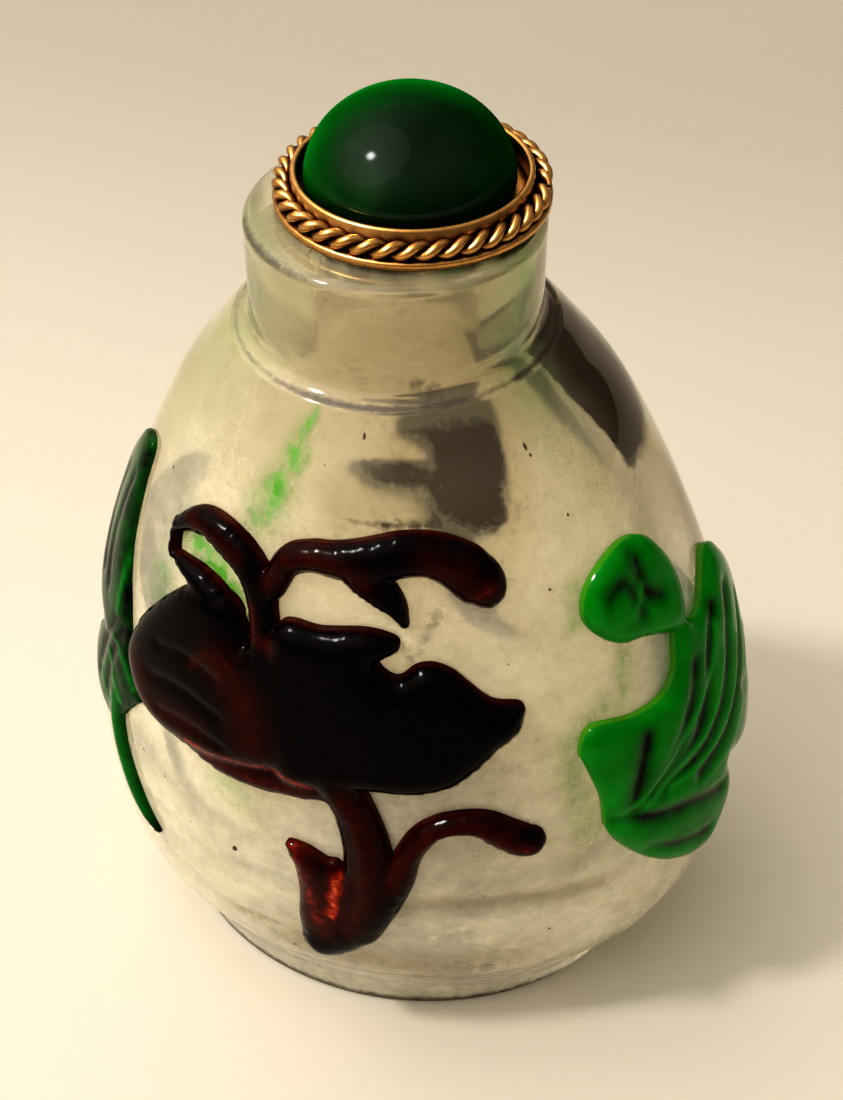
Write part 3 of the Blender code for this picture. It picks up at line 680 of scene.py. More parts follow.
def green_cabochon_glass(settings):
    """Bottle-green glass, ground and polished, with painted light: painted black-green low down and in front,
    painted glowing green at the far rim and the left.
    """
    material, tree, output = new_material("green_cabochon_glass")
    place = add_node(tree, "ShaderNodeTexCoord").outputs["Object"]
    # The dome's painted light, from its painted shade low in front to its painted glow at the far rim
    depth = add_node(tree, "ShaderNodeAttribute", attribute_name="painted_glow")
    # The melt has soft clouds about 4 mm wide
    clouds = add_node(tree, "ShaderNodeTexNoise", {"Vector": place, "Scale": 260.0, "Detail": 3.0})
    shift = add_node(tree, "ShaderNodeMapRange", {
        "Value": clouds.outputs["Fac"], "From Min": 0.3, "From Max": 0.7, "To Min": -0.06, "To Max": 0.06,
    })
    level = add_node(tree, "ShaderNodeMath", {0: depth.outputs["Fac"], 1: shift.outputs[0]}, operation="ADD")
    colour = add_node(tree, "ShaderNodeValToRGB", {"Fac": level.outputs[0]}, stops=(
        (0.0, linear("#010c03")), (0.35, linear("#01260a")),
        (0.62, settings.stone_colour), (1.0, linear("#0a8a30")),
    ))
    body = add_node(tree, "ShaderNodeBsdfPrincipled", {
        "Base Color": colour.outputs["Color"], "Roughness": 0.9, "Specular IOR Level": 0.0,
    })
    # The gloss fades where the dome turns from the eye, so that a pale room doesn't veil its depth
    facing = add_node(tree, "ShaderNodeLayerWeight", {"Blend": 0.5}).outputs["Facing"]
    gloss = add_node(tree, "ShaderNodeMapRange", {
        "Value": facing, "From Min": 0.05, "From Max": 0.6, "To Min": 0.026, "To Max": 0.004,
    })
    polish = add_node(tree, "ShaderNodeBsdfAnisotropic", {"Roughness": 0.05})
    both = add_node(tree, "ShaderNodeMixShader", {
        0: gloss.outputs[0], 1: body.outputs[0], 2: polish.outputs[0],
    })
    tree.links.new(both.outputs[0], output.inputs["Surface"])
    return material


def matt_painted_board(settings):
    """Board with a matt paint coat: plain and pale, with a faint roller texture."""
    material, tree, output = new_material("matt_painted_board")
    place = add_node(tree, "ShaderNodeTexCoord").outputs["Object"]
    # Its tone drifts over about 70 mm, and the roller left a grain about 1.1 mm wide
    tone = add_node(tree, "ShaderNodeTexNoise", {"Vector": place, "Scale": 14.0, "Detail": 3.0})
    near = add_node(tree, "ShaderNodeMix", {
        "Factor": tone.outputs["Fac"], 6: settings.floor_colour, 7: linear("#c5bfb2"),
    }, data_type="RGBA")
    # Painted shade: the board is painted a little greyer towards its back
    parts = add_node(tree, "ShaderNodeSeparateXYZ", {0: place})
    back = add_node(tree, "ShaderNodeMapRange", {
        "Value": parts.outputs["Y"], "From Min": 0.0, "From Max": 0.16, "To Min": 0.0, "To Max": 1.0,
    }, interpolation_type="SMOOTHSTEP")
    colour = add_node(tree, "ShaderNodeMix", {
        "Factor": back.outputs[0], 6: near.outputs[2], 7: settings.back_shade_colour,
    }, data_type="RGBA")
    roller = add_node(tree, "ShaderNodeTexNoise", {"Vector": place, "Scale": 900.0, "Detail": 2.0})
    bump = add_node(tree, "ShaderNodeBump", {
        "Height": roller.outputs["Fac"], "Strength": 0.15, "Distance": 0.0001,
    })
    paint = add_node(tree, "ShaderNodeBsdfPrincipled", {
        "Base Color": colour.outputs[2], "Roughness": 0.75, "Normal": bump.outputs["Normal"],
    })
    tree.links.new(paint.outputs[0], output.inputs["Surface"])
    return material


# The bottle


def swell(points, amount):
    """Points moved by slow waves, mostly in towards the bottle's axis, so that the wall keeps to its size."""
    out = []
    for x, y, z in points:
        wave = noise.noise((x * 90, y * 90, z * 110)) - 0.5  # waves some 11 mm long round and 9 mm up
        share = 1 + amount * wave / max(math.hypot(x, y), 1e-4)
        out.append((x * share, y * share, z))
    return np.array(out)


def bottle_outside(segments, waviness):
    """Rings of the outer wall, from the foot's edge up to the top of the lip."""
    foot = FOOT_HALF_WIDTH, FOOT_HALF_WIDTH * FOOT_DEPTH_SHARE
    rings = []
    for out, up in arc(FOOT_ROUND, -90, 0, 5):
        inset = FOOT_ROUND - out
        rings.append(oval(foot[0] - inset, foot[1] - inset, 0, 0, FOOT_ROUND + up, segments))
    for rise in WALL_RISES:
        rings.append(swell(oval(*wall_section(rise), rise, segments), waviness))
    flare = NECK_BASE_RADIUS - NECK_RADIUS
    for share in np.linspace(0.12, 1, 9):
        radius = NECK_RADIUS + flare * (1 - share) ** NECK_FILLET_POWER
        rise = BODY_HEIGHT + NECK_FILLET_HEIGHT * share
        rings.append(swell(oval(radius, radius, NECK_SHIFT_X, NECK_SHIFT_Y, rise, segments), waviness))
    for share in np.linspace(0.1, 1, 8):
        rise = BODY_HEIGHT + NECK_FILLET_HEIGHT + share * (NECK_HEIGHT - NECK_FILLET_HEIGHT - LIP_ROUND)
        ring = oval(NECK_RADIUS, NECK_RADIUS, NECK_SHIFT_X, NECK_SHIFT_Y, rise, segments)
        rings.append(swell(ring, waviness))
    for out, up in arc(LIP_ROUND, 10, 90, 8):
        radius = NECK_RADIUS - LIP_ROUND + out
        rise = LIP_RISE - LIP_ROUND + up
        rings.append(oval(radius, radius, NECK_SHIFT_X, NECK_SHIFT_Y, rise, segments))
    return rings


def bottle_inside(segments):
    """Rings of the inner wall, from the mouth down to the bottom of the hollow."""
    rings = []
    for out, up in arc(BORE_ROUND, 90, 180, 5):
        radius = BORE_RADIUS + BORE_ROUND + out
        rings.append(oval(radius, radius, NECK_SHIFT_X, NECK_SHIFT_Y, LIP_RISE - BORE_ROUND + up, segments))
    for rise in np.linspace(LIP_RISE - BORE_ROUND, BODY_HEIGHT, 8)[1:-1]:
        rings.append(oval(BORE_RADIUS, BORE_RADIUS, NECK_SHIFT_X, NECK_SHIFT_Y, rise, segments))
    widest = BODY_HALF_WIDTH - SIDE_WALL
    deepest = BODY_HALF_WIDTH * BODY_DEPTH_SHARE - FRONT_WALL
    for share, width in smooth([*HOLLOW_PROFILE, (1, BORE_RADIUS / widest)], 10)[::-1]:
        rise = BOTTOM_WALL + share * (BODY_HEIGHT - BOTTOM_WALL)
        to_neck = wall_blends(rise)[0]
        flat = deepest / widest * (1 - to_neck) + to_neck
        x, y = NECK_SHIFT_X * to_neck, NECK_SHIFT_Y * to_neck
        rings.append(oval(width * widest, width * widest * flat, x, y, rise, segments))
    return rings


# The overlays


def degree_run():
    """Millimetres round the belly, at the drawn height, for one degree."""
    girth_radius = BODY_HALF_WIDTH * (1 + BODY_DEPTH_SHARE) / 2
    return math.radians(girth_radius * DRAWN_HEIGHT / BODY_HEIGHT)


def drawn(points):
    """Drawing points, (turn in degrees, rise, ...), with the turn made millimetres round the belly."""
    points = np.array(points, float)
    points[:, 0] *= degree_run()
    return points


def lobe(thickness, edge, points):
    """A pad with this outline, rounded over this far in from its edge."""
    outline = smooth(drawn(points), 10, closed=True)
    return {"outline": outline, "thickness": thickness, "edge": edge}


def ribbon(thickness, points):
    """A band of (turn, rise, half-width) points with round ends and a round back."""
    line = smooth(drawn(points), 8)
    spine, half = line[:, :2], line[:, 2:]
    along = np.gradient(spine, axis=0)
    along = along / np.linalg.norm(along, axis=1, keepdims=True)
    left = np.stack([-along[:, 1], along[:, 0]], axis=1)
    caps = []
    for tip in (-1, 0):
        side = left[tip] if tip else -left[tip]
        ahead = along[tip] if tip else -along[tip]
        caps.append([spine[tip] + half[tip] * (side * c + ahead * s) for c, s in arc(1, 15, 165, 11)])
    outline = np.concatenate([spine + left * half, caps[0], (spine - left * half)[::-1], caps[1]])
    return {"outline": outline, "thickness": thickness, "edge": half.max()}


def groove(depth, half_width, *points):
    """A cut of this depth in metres and half-width in drawn millimetres."""
    return {"line": smooth(drawn(points), 8), "depth": depth, "half_width": half_width}


def distances(points, line):
    """Distance from each point to a line of straight pieces."""
    start, end = line[:-1], line[1:]
    along = end - start
    length = np.maximum((along**2).sum(axis=1), 1e-12)
    offset = points[:, None] - start[None]
    share = np.clip((offset * along).sum(axis=2) / length, 0, 1)
    nearest = start[None] + share[..., None] * along[None]
    return np.linalg.norm(points[:, None] - nearest, axis=2).min(axis=1)


def strokes(points, marks):
    """From 0 to 1, how near each point is to the marks, each a strength, a radius and its drawn points."""
    value = np.zeros(len(points))
    for strength, radius, *line in marks:
        line = drawn(line)
        line = np.concatenate([line, line[-1:] + 1e-6])
        value = np.maximum(value, strength * np.exp(-(distances(points, line) / radius) ** 2))
    return value


def is_inside(points, outline):
    """Whether each point lies inside the closed outline."""
    x, y = points[:, 0, None], points[:, 1, None]
    x0, y0 = outline.T
    x1, y1 = np.roll(outline, -1, axis=0).T
    crosses = (y0 > y) != (y1 > y)
    rise = np.where(y1 == y0, 1e-12, y1 - y0)
    return (crosses & (x < x0 + (y - y0) * (x1 - x0) / rise)).sum(axis=1) % 2 == 1


def relief_height(points, forms, grooves, rim):
    """Height of the carved glass over the wall and, from 0 to 1, how deep in a cut each point is, for the
    painted shade in the cuts.
    """
    height = np.zeros(len(points))
    for form in forms:
        inside = is_inside(points, form["outline"])
        closed = np.concatenate([form["outline"], form["outline"][:1]])
        depth_in = np.zeros(len(points))
        depth_in[inside] = distances(points[inside], closed)
        share = np.clip(depth_in / form["edge"], 0, 1)
        height = np.maximum(height, form["thickness"] * np.sqrt(1 - (1 - share) ** 2))
    cut_shade = np.zeros(len(points))
    for line in grooves:
        away = np.clip(distances(points, line["line"]) / line["half_width"], 0, 1)
        height = height - line["depth"] * (1 - away) ** 1.3
        cut_shade = np.maximum(cut_shade, (1 - away) ** 1.7 * min(line["depth"] / DEEP_CUT, 1))
    return np.maximum(height, rim), cut_shade


def hexagonal_net(low, high, step):
    """Points this far apart, each in the middle of six others, from one corner to the other."""
    rows = np.arange(low[1], high[1], step * math.sqrt(0.75))
    return np.array([
        (x + step / 2 * (i % 2), y) for i, y in enumerate(rows) for x in np.arange(low[0], high[0], step)
    ])


def softened(height, edges, fixed, passes):
    """Heights averaged with their neighbours' this many times."""
    for _ in range(passes):
        total = np.zeros(len(height))
        count = np.zeros(len(height))
        for a, b in ((0, 1), (1, 0)):
            np.add.at(total, edges[:, a], height[edges[:, b]])
            np.add.at(count, edges[:, a], 1)
        mean = total / np.maximum(count, 1)
        height = np.where(fixed, height, (height + mean) / 2)
    return height


def filled(outlines, step):
    """Points and triangles that fill the outlines together, with points about this far apart inside."""
    net = hexagonal_net(
        np.min([outline.min(axis=0) for outline in outlines], axis=0),
        np.max([outline.max(axis=0) for outline in outlines], axis=0), step)
    net = net[np.any([is_inside(net, outline) for outline in outlines], axis=0)]
    edges = []
    start = 0
    for outline in outlines:
        closed = np.concatenate([outline, outline[:1]])
        net = net[distances(net, closed) > step * 0.45]
        count = len(outline)
        edges += [(start + i, start + (i + 1) % count) for i in range(count)]
        start += count
    points = np.concatenate([*outlines, net])
    flat, _, faces, *_ = delaunay_2d_cdt(points.tolist(), edges, [], 0, 1e-4, False)
    flat = np.array([tuple(point) for point in flat])
    faces = np.array(faces)
    middles = flat[faces].mean(axis=1)
    faces = faces[np.any([is_inside(middles, outline) for outline in outlines], axis=0)]
    used, faces = np.unique(faces, return_inverse=True)
    return flat[used], faces.reshape(-1, 3)


def relief(name, nodes, material, forms, grooves, settings, lift=GAP, lights=(), crests=()):
    """A pad of carved glass, fused a little into the wall, with the outline of all its forms together."""
    flat, faces = filled([form["outline"] for form in forms], settings.grain / MM)
    height, cut_shade = relief_height(flat, forms, grooves, RIM_HEIGHT)
    sides = np.concatenate([faces[:, [0, 1]], faces[:, [1, 2]], faces[:, [2, 0]]])
    sides_up, uses = np.unique(np.sort(sides, axis=1), axis=0, return_counts=True)
    border = np.zeros(len(flat), bool)
    border[sides_up[uses == 1].ravel()] = True
    height = softened(height, sides_up, border, settings.softness)
    # The crests are raised a little and also carry a painted highlight
    crest = strokes(flat, crests)
    height = np.where(border, RIM_HEIGHT / 2, height + CREST_HEIGHT * crest)

    turn = np.radians(flat[:, 0] / degree_run())
    rise = flat[:, 1] * BODY_HEIGHT / DRAWN_HEIGHT
    bottom = off_wall(turn, rise, np.full(len(flat), -SINK))
    top = np.clip(off_wall(turn, rise, lift + height), *CAD_BOX)
    count = len(flat)
    shell = [tuple(face + count) for face in faces] + [tuple(face[::-1]) for face in faces]
    borders = {(a, b) for face in faces.tolist() for a, b in zip(face, face[1:] + face[:1])}
    shell += [(a, b, b + count, a + count) for a, b in sorted(borders) if (b, a) not in borders]
    thickest = max(form["thickness"] for form in forms)
    level = height / thickest
    # Painted light for the materials: shade in the cuts, a glow on the red, highlights on the green's crests
    values = {
        "thickness": np.concatenate([level, level]),
        "cut_shade": np.concatenate([np.zeros(count), cut_shade * (1 - 0.8 * crest)]),
        "painted_glow": np.concatenate([np.zeros(count), np.maximum(strokes(flat, lights), crest)]),
    }
    piece = new_piece(name, np.concatenate([bottom, top]), shell, [material], 75, None, values)
    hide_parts(*nodes)
    return piece


# Marks on the glass, drawn in degrees round from the middle of the front and millimetres up

GREEN_WASHES = (  # strength, radius, line
    (1.0, 0.55, (-12.6, 57), (-14.6, 55.6), (-17, 54)),
    (1.0, 1.3, (-15.4, 55.4), (-17, 54), (-18.4, 52.8)),
    (1.0, 1.8, (-18.6, 52.2), (-20.4, 50.8), (-21.6, 50)),
    (0.8, 0.5, (-12, 54.4), (-16.5, 52.6)),
    (1.0, 1.7, (-38.5, 45.6), (-34.5, 44.8), (-29, 44.2), (-25, 42.6), (-22, 39.8)),
    (0.6, 1.6, (-46, 40.6), (-44, 38.6)),
    (0.45, 1.4, (-23, 26), (-20, 25)),
    (0.7, 0.9, (47.5, 44.6), (45.4, 42)),
    (0.6, 0.8, (54.4, 38.4), (51.4, 34.6)),
    (0.5, 1.2, (46.5, 34.8), (40, 33), (38.6, 29.6), (41, 24)),
    (0.5, 1.8, (53, 5.8), (65, 4)),
    (0.55, 6.0, (65, 60), (68, 64)),
    (0.3, 9.0, (-70, 60), (-60, 64)),
    (0.4, 1.0, (70, 45), (74, 40)),
)
# Olive tinge of the glass, partly painted shade: darker along the sides, round the neck and under the belly:
# strength, radius, line
AMBER_AND_SHADE_TINGES = (
    (0.55, 7.0, (-74, 56), (-70, 50), (-72, 44)),
    (0.4, 5.0, (-60, 44), (-66, 36)),
    (0.75, 4.0, (84, 57), (92, 50), (100, 40)),
    (0.6, 9.0, (-80, 62), (0, 62), (90, 62)),
    (0.6, 3.0, (-10, 9), (10, 8), (30, 9)),
    (0.3, 3.0, (104, 34), (108, 22)),
    (0.4, 1.2, (2, 16.8), (16, 17.9), (30, 17.9), (44, 17.2)),
    (0.4, 1.0, (-24, 10.4), (-13, 10.8)),
)
GRIME = (
    (0.5, 0.4, (-24, 10.6), (-18, 10.8), (-13, 11)),
    (0.55, 1.0, (20, 59), (25, 58.4), (30, 58.2)),
    (0.5, 0.8, (9, 42.8), (12, 41.2), (18, 44.8)),
    (0.45, 0.8, (-70, 58.8), (-50, 58.6)),
)
# Crusts on the inner wall, painted opaque: the one on the right shoulder is painted shade for the dark seen
# through it; those under the neck are partly snuff residue, partly painted shade
CRUSTS_AND_SHADE = (  # strength, edge, outline
    (0.95, 2.0, (89.5, 55), (89.5, 51), (91.4, 48.8), (92.4, 46.7), (92.2, 44.9), (104, 44.3), (120, 43.9),
     (131, 44.6), (140, 48), (150, 53), (120, 56)),
    (0.84, 1.3, (10.9, 53.5), (20.1, 53.6), (33.9, 53.8), (46.3, 53.5), (53, 53.1), (50.9, 51.7),
     (49.1, 50.1), (43.6, 48.8), (43.9, 47.6), (38.1, 46.9), (30.7, 47.4), (24.7, 48.1), (20.8, 49),
     (20, 50.2), (23.7, 51.5), (24, 52.6), (18.2, 52.9)),
    (0.74, 1.0, (-4.2, 51.7), (3.8, 52), (15.4, 51.9), (24.3, 51.1), (23.2, 49.9), (14.2, 49.9),
     (3.9, 50.3), (-1.9, 50.7)),
    (0.66, 0.8, (-8.5, 48.2), (0.9, 48.5), (18.5, 48.6), (22.3, 49), (24.3, 47.7), (11.7, 47.5),
     (-0.8, 47.8)),
)
CLEAREST = (  # where the wall is polished clear enough to show what is dark behind it
    (0.9, 3.0, (13.6, 59), (60, 59), (49, 54.9), (38, 47.6), (18, 48.2), (-4, 48.2), (-7, 53.4), (10, 55.6)),
    (0.95, 2.0, (64, 59), (100, 62), (130, 56), (124, 47), (96, 44.4), (76, 46.6), (72, 52), (74, 56)),
)
# The corner under the neck holds a thin line of dirt, uneven as it goes round
CORNER_RISE = BODY_HEIGHT + 0.2 * MM
CORNER_SPREAD = 0.16 * MM
CORNER_REACH = 12.4 * MM  # from the neck's axis
CORNER_TURNS = (-180, -90, -60, -30, 0, 28, 45, 70, 90, 180)
CORNER_DIRT = (0.4, 0.5, 0.5, 0.7, 1, 1, 0.6, 0.9, 0.8, 0.4)
# The lip's rounded edge is painted darker over part of the way round, and the foot's edge has painted shade
# over part of the way round
LIP_DARK_SPREAD = 0.3 * MM
LIP_DARK_START = 9.6 * MM  # from the neck's axis
SOLE_SHADE_HEIGHT = 0.75 * MM
# Frosting by scratches at rises in mm
FROST_RISES = (0, 6, 14, 26, 46, 56)
FROST_LEVELS = (0.6, 0.8, 0.76, 0.58, 0.56, 0.42)

PITS = (  # turn, rise, radius in mm, how much longer than wide
    (-21.4, 18.9, 0.28, 1.4), (-37.5, 22.4, 0.14, 1), (-44, 23.3, 0.12, 1), (-31.1, 19.2, 0.1, 1),
    (3.7, 56.3, 0.22, 1.2), (49.5, 54.4, 0.26, 1.3), (49.8, 53.9, 0.15, 1), (52.4, 49.7, 0.16, 1),
    (42.1, 45.2, 0.14, 1), (-53.7, 48.5, 0.13, 1), (-7, 54.3, 0.09, 1), (30, 40.3, 0.1, 1), (35, 13, 0.12, 1),
    (-12, 8, 0.12, 1), (64, 20, 0.1, 1), (-80, 33, 0.16, 1.5), (150, 30, 0.18, 1.2), (-140, 22, 0.15, 1),
)


def patches(points, marks):
    """From 0 to 1, how deep each point lies in the marks, each a strength, an edge and its drawn outline."""
    value = np.zeros(len(points))
    for strength, edge, *outline in marks:
        outline = drawn(outline)
        side = np.where(is_inside(points, outline), 1, -1)
        depth = side * distances(points, np.concatenate([outline, outline[:1]]))
        value = np.maximum(value, strength * np.clip(0.5 + depth / edge, 0, 1))
    return value


def edge_dirt_and_shade(points, turn):
    """From 0 to 1, the dirt in the corner under the neck, the darkening on the lip's edge and the painted
    shade on the foot's edge.
    """
    rise = points[:, 2]
    from_axis = np.hypot(points[:, 0] - NECK_SHIFT_X, points[:, 1] - NECK_SHIFT_Y)
    corner = np.exp(-((rise - CORNER_RISE) / CORNER_SPREAD) ** 2) * (from_axis < CORNER_REACH)
    corner = corner * np.interp(turn, CORNER_TURNS, CORNER_DIRT)
    lip = np.exp(-((rise - LIP_RISE + LIP_DARK_SPREAD) / LIP_DARK_SPREAD) ** 2)
    lip = lip * (from_axis > LIP_DARK_START) * np.exp(-((turn + 46) / 30) ** 4)
    # Painted shade along the foot's edge
    sole = (rise < SOLE_SHADE_HEIGHT) * np.exp(-((turn + 5) / 60) ** 4)
    return np.maximum.reduce([corner, 0.75 * lip, sole])


def crumb(number, turn, rise, radius, longer):
    """A small low crumb of dirt that fills a pit in the wall, and isn't quite round."""
    rings = []
    for lift, share in ((-0.03, 1), (0.02, 0.9), (0.035, 0.4)):
        ring = []
        for step in range(9):
            a = math.radians(step * 40)
            wobble = radius * share * (0.8 + 0.4 * noise.noise((number * 3.1, math.cos(a), math.sin(a))))
            across = np.radians([turn + wobble * math.cos(a) / degree_run()])
            up = np.array([(rise + wobble * longer * math.sin(a)) * MM])
            ring.append(off_wall(across, up, lift * MM)[0])
        rings.append(np.array(ring))
    return loft(rings)


class SNUFF_BOTTLE_OT_blow_bottle(bpy.types.Operator):
    """Make the clear glass bottle with its polished outside and its ground inside"""

    bl_idname = "snuff_bottle.blow_bottle"
    bl_label = "Blow the bottle"

    def execute(self, context):
        settings = context.scene.snuff_glass
        outside = bottle_outside(settings.segments, settings.waviness)
        inside = bottle_inside(settings.segments)
        points, faces = loft(outside + inside)
        first_inner = len(outside) * settings.segments
        inner = np.arange(len(points)) >= first_inner
        inner[-2] = False
        face_materials = [1 if all(inner[i] for i in face) else 0 for face in faces]
        rise = points[:, 2]
        turn = np.degrees(np.arange(len(points)) % settings.segments * 2 * math.pi / settings.segments)
        turn = (turn + 180) % 360 - 180
        plan = np.stack([turn * degree_run(), rise * DRAWN_HEIGHT / BODY_HEIGHT], axis=1)
        # Dirt, with a darkening on the lip's edge and painted shade on the foot's edge
        dirt = np.maximum(edge_dirt_and_shade(points, turn), strokes(plan, GRIME))
        frost = np.interp(rise / MM, FROST_RISES, FROST_LEVELS)
        values = {
            "grime_and_shade": np.where(inner, 0, dirt),
            "green_wash": np.where(inner, 0, strokes(plan, GREEN_WASHES)),
            # Olive tinge, partly painted shade
            "amber_and_shade": np.where(inner, 0, strokes(plan, AMBER_AND_SHADE_TINGES)),
            "frost": np.where(inner, 0, frost * (1 - patches(plan, CLEAREST))),
            # Crusts, partly painted shade
            "residue_and_shade": np.where(inner, patches(plan, CRUSTS_AND_SHADE), 0),
        }
        materials = [polished_clear_glass(settings), ground_inner_glass(settings)]
        piece = new_piece("bottle_glass", points, faces, materials, 40, face_materials, values)
        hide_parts("glass_bottle")
        points, faces = joined(crumb(number, *pit) for number, pit in enumerate(PITS))
        crumbs = new_piece("dirt_in_pits", points, faces, [rubbed_in_dirt(settings)], 60)
        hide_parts("glass_bottle")
        return {"FINISHED"}


class SNUFF_BOTTLE_OT_carve_front_figure(bpy.types.Operator):
    """Carve the red figure on the front: breast, back, curl, wing, stem, leaf and tendril"""

    bl_idname = "snuff_bottle.carve_front_figure"
    bl_label = "Carve the front figure"

    def execute(self, context):
        settings = context.scene.snuff_overlays
        breast = lobe(RED_THICKNESS, 2.6, (
            (-35, 42.4), (-43.5, 38.8), (-48, 35.6), (-48.9, 33), (-45.7, 30.6), (-41.6, 29.2), (-36, 28.5),
            (-28, 28.4), (-18, 29), (-9, 31), (-8, 37), (-13, 41), (-20.2, 40), (-22.5, 42.6), (-28, 43.3),
        ))
        back = lobe(RED_THICKNESS, 2.2, (
            (-14, 42.4), (-5, 43), (3.7, 43.5), (9.5, 43), (9.6, 42), (6, 41), (7.4, 40.1), (9.7, 39.9),
            (12.7, 40.8), (16, 41), (19.5, 40.4), (22.4, 39.2), (26, 37.8), (31.2, 37.2), (31, 36),
            (29.4, 34.7), (25.8, 33.6), (21.7, 31.9), (16.9, 30.4), (10.4, 29.7), (3.9, 29.7), (-4, 29.2),
            (-12, 29.4), (-17, 36),
        ))
        curl = ribbon(RED_THICKNESS * 0.75, (
            (-42.6, 46, 0.7), (-38, 47.2, 1.05), (-33, 47.6, 1.2), (-27.5, 47.2, 1.4), (-22.5, 46.4, 1.45),
            (-18.9, 45, 1.45), (-17.4, 43, 1.25), (-16.6, 41, 1.25), (-16.6, 38.5, 1.4),
        ))
        crest = ribbon(RED_THICKNESS * 0.8, (
            (-42, 43.5, 0.3), (-37.5, 43.3, 0.7), (-33, 43, 1.05), (-28, 42.2, 1.3), (-24, 40.6, 1.5),
        ))
        belly = ribbon(RED_THICKNESS * 0.55, (
            (-31.3, 28.6, 0.3), (-26, 28.5, 1), (-19, 28.5, 1.35), (-12, 28.8, 1.4), (-5, 29.1, 1.3),
            (0, 29.6, 1.1),
        ))
        wing = ribbon(RED_THICKNESS * 0.9, (
            (-15.8, 45.2, 1.1), (-13, 47.4, 1.2), (-8, 48.3, 1.15), (-2, 48.4, 1.35), (5, 48.6, 1.7),
            (11, 49.2, 1.6), (17, 49.3, 1.6), (22, 48.7, 1.9), (26, 47.7, 2.2), (28.2, 47.1, 2),
        ))
        drip = ribbon(RED_THICKNESS * 0.8, (
            (2.5, 47.6, 1.3), (7, 46.6, 1.35), (9.8, 45.5, 1), (11.2, 44.3, 0.45),
        ))
        stem = ribbon(RED_THICKNESS * 0.95, (
            (-2.5, 30.5, 1.6), (0.6, 28, 1.5), (2.8, 25, 1.6), (3.6, 22, 1.75), (3.2, 19, 1.95), (1.6, 16, 2),
            (-1.4, 13.2, 1.9), (-4.6, 11.6, 1.7),
        ))
        leaf = lobe(RED_THICKNESS * 0.6, 1.5, (
            (-10.6, 22.6), (-9.2, 20.5), (-8.5, 17.7), (-9, 13.8), (-8, 10.8), (-4.3, 9.8), (0, 12),
            (1.5, 16), (0.5, 20), (-1.4, 21.8), (-3.6, 21.9), (-7, 22.7),
        ))
        tendril = ribbon(RED_THICKNESS * 0.85, (
            (1.5, 14, 1.6), (5.2, 17.6, 1.4), (8.2, 20.8, 1.15), (9.8, 23.4, 0.95), (12, 25.4, 0.95),
            (15.2, 26.6, 0.95), (19, 27, 1), (22.6, 26.7, 1.2), (26.2, 25.6, 1.35), (28.6, 24.9, 1.4),
            (29.9, 24.7, 1.3),
        ))
        cuts = [
            groove(0.3 * MM, 0.5, (-38, 36.5), (-31, 37.2), (-24, 36.6)),
            groove(0.3 * MM, 0.5, (-39, 33.6), (-31, 34.2), (-22, 33.4)),
            groove(0.3 * MM, 0.5, (-36, 31), (-29, 31.4), (-21, 30.8)),
            groove(0.35 * MM, 0.5, (-14.5, 46.2), (-9, 47.2), (-2, 47.4), (5, 47.4), (10, 47.8)),
            groove(0.3 * MM, 0.5, (0.5, 27), (1.6, 23), (1.4, 18.5), (-1, 14.8)),
        ]
        link = ribbon(RED_THICKNESS * 0.4, ((-43.2, 46, 0.5), (-43.6, 44.8, 0.45), (-42.6, 43.4, 0.45)))
        # Painted glow where the red is hollowed or drawn thin: strength, radius, line
        lights = (
            (0.75, 0.5, (-30, 29.6), (-23, 29.5), (-18, 29.9), (-13, 30.2), (-6, 29.6)),
            (0.5, 0.8, (-29, 29.2), (-20, 28.4), (-14, 28.4), (-7, 28.7)),
            (0.35, 0.45, (-29, 36.9), (-27, 38.3), (-22, 38.3), (-20, 37.9)),
            (0.32, 1.6, (-24, 38), (-18, 36), (-16, 32)),
            (0.28, 1.6, (-44, 33), (-38, 30.5), (-28, 31)),
            (0.95, 0.7, (-1.6, 20.8), (-2, 18.6), (-2.6, 16.4)),
            (0.6, 1.1, (-9, 22.6), (-7, 20), (-5.4, 17), (-5, 14.5)),
            (0.36, 1.2, (0, 29), (3, 27), (4, 23.5), (3, 19.5), (0, 15.4)),
            (0.45, 0.4, (4, 29), (7, 26.6), (8, 23.6), (7, 20.8)),
            (0.4, 0.8, (8, 21), (10, 23.8), (14, 26.4), (21, 27.2), (26, 26)),
            (0.55, 0.6, (22, 26.4), (26, 25.4), (30, 24.6)),
            (0.34, 0.9, (-15, 46), (-12, 47.8), (-6, 48.6), (4, 47.6)),
            (0.52, 0.9, (26, 46.6), (29, 46.9)),
            (0.3, 1.4, (18, 48.8), (24, 48)),
            (0.42, 0.55, (-19, 43.6), (-17.6, 41.2), (-14, 40.8)),
            (0.3, 0.6, (-38, 47.6), (-30, 47.4), (-23, 46.7)),
        )
        forms = [breast, back, curl, crest, belly, wing, drip, stem, leaf, tendril, link]
        red = red_overlay_glass(settings)
        relief("front_red_relief", ["front_figure"], red, forms, cuts, settings, lights=lights)
        return {"FINISHED"}


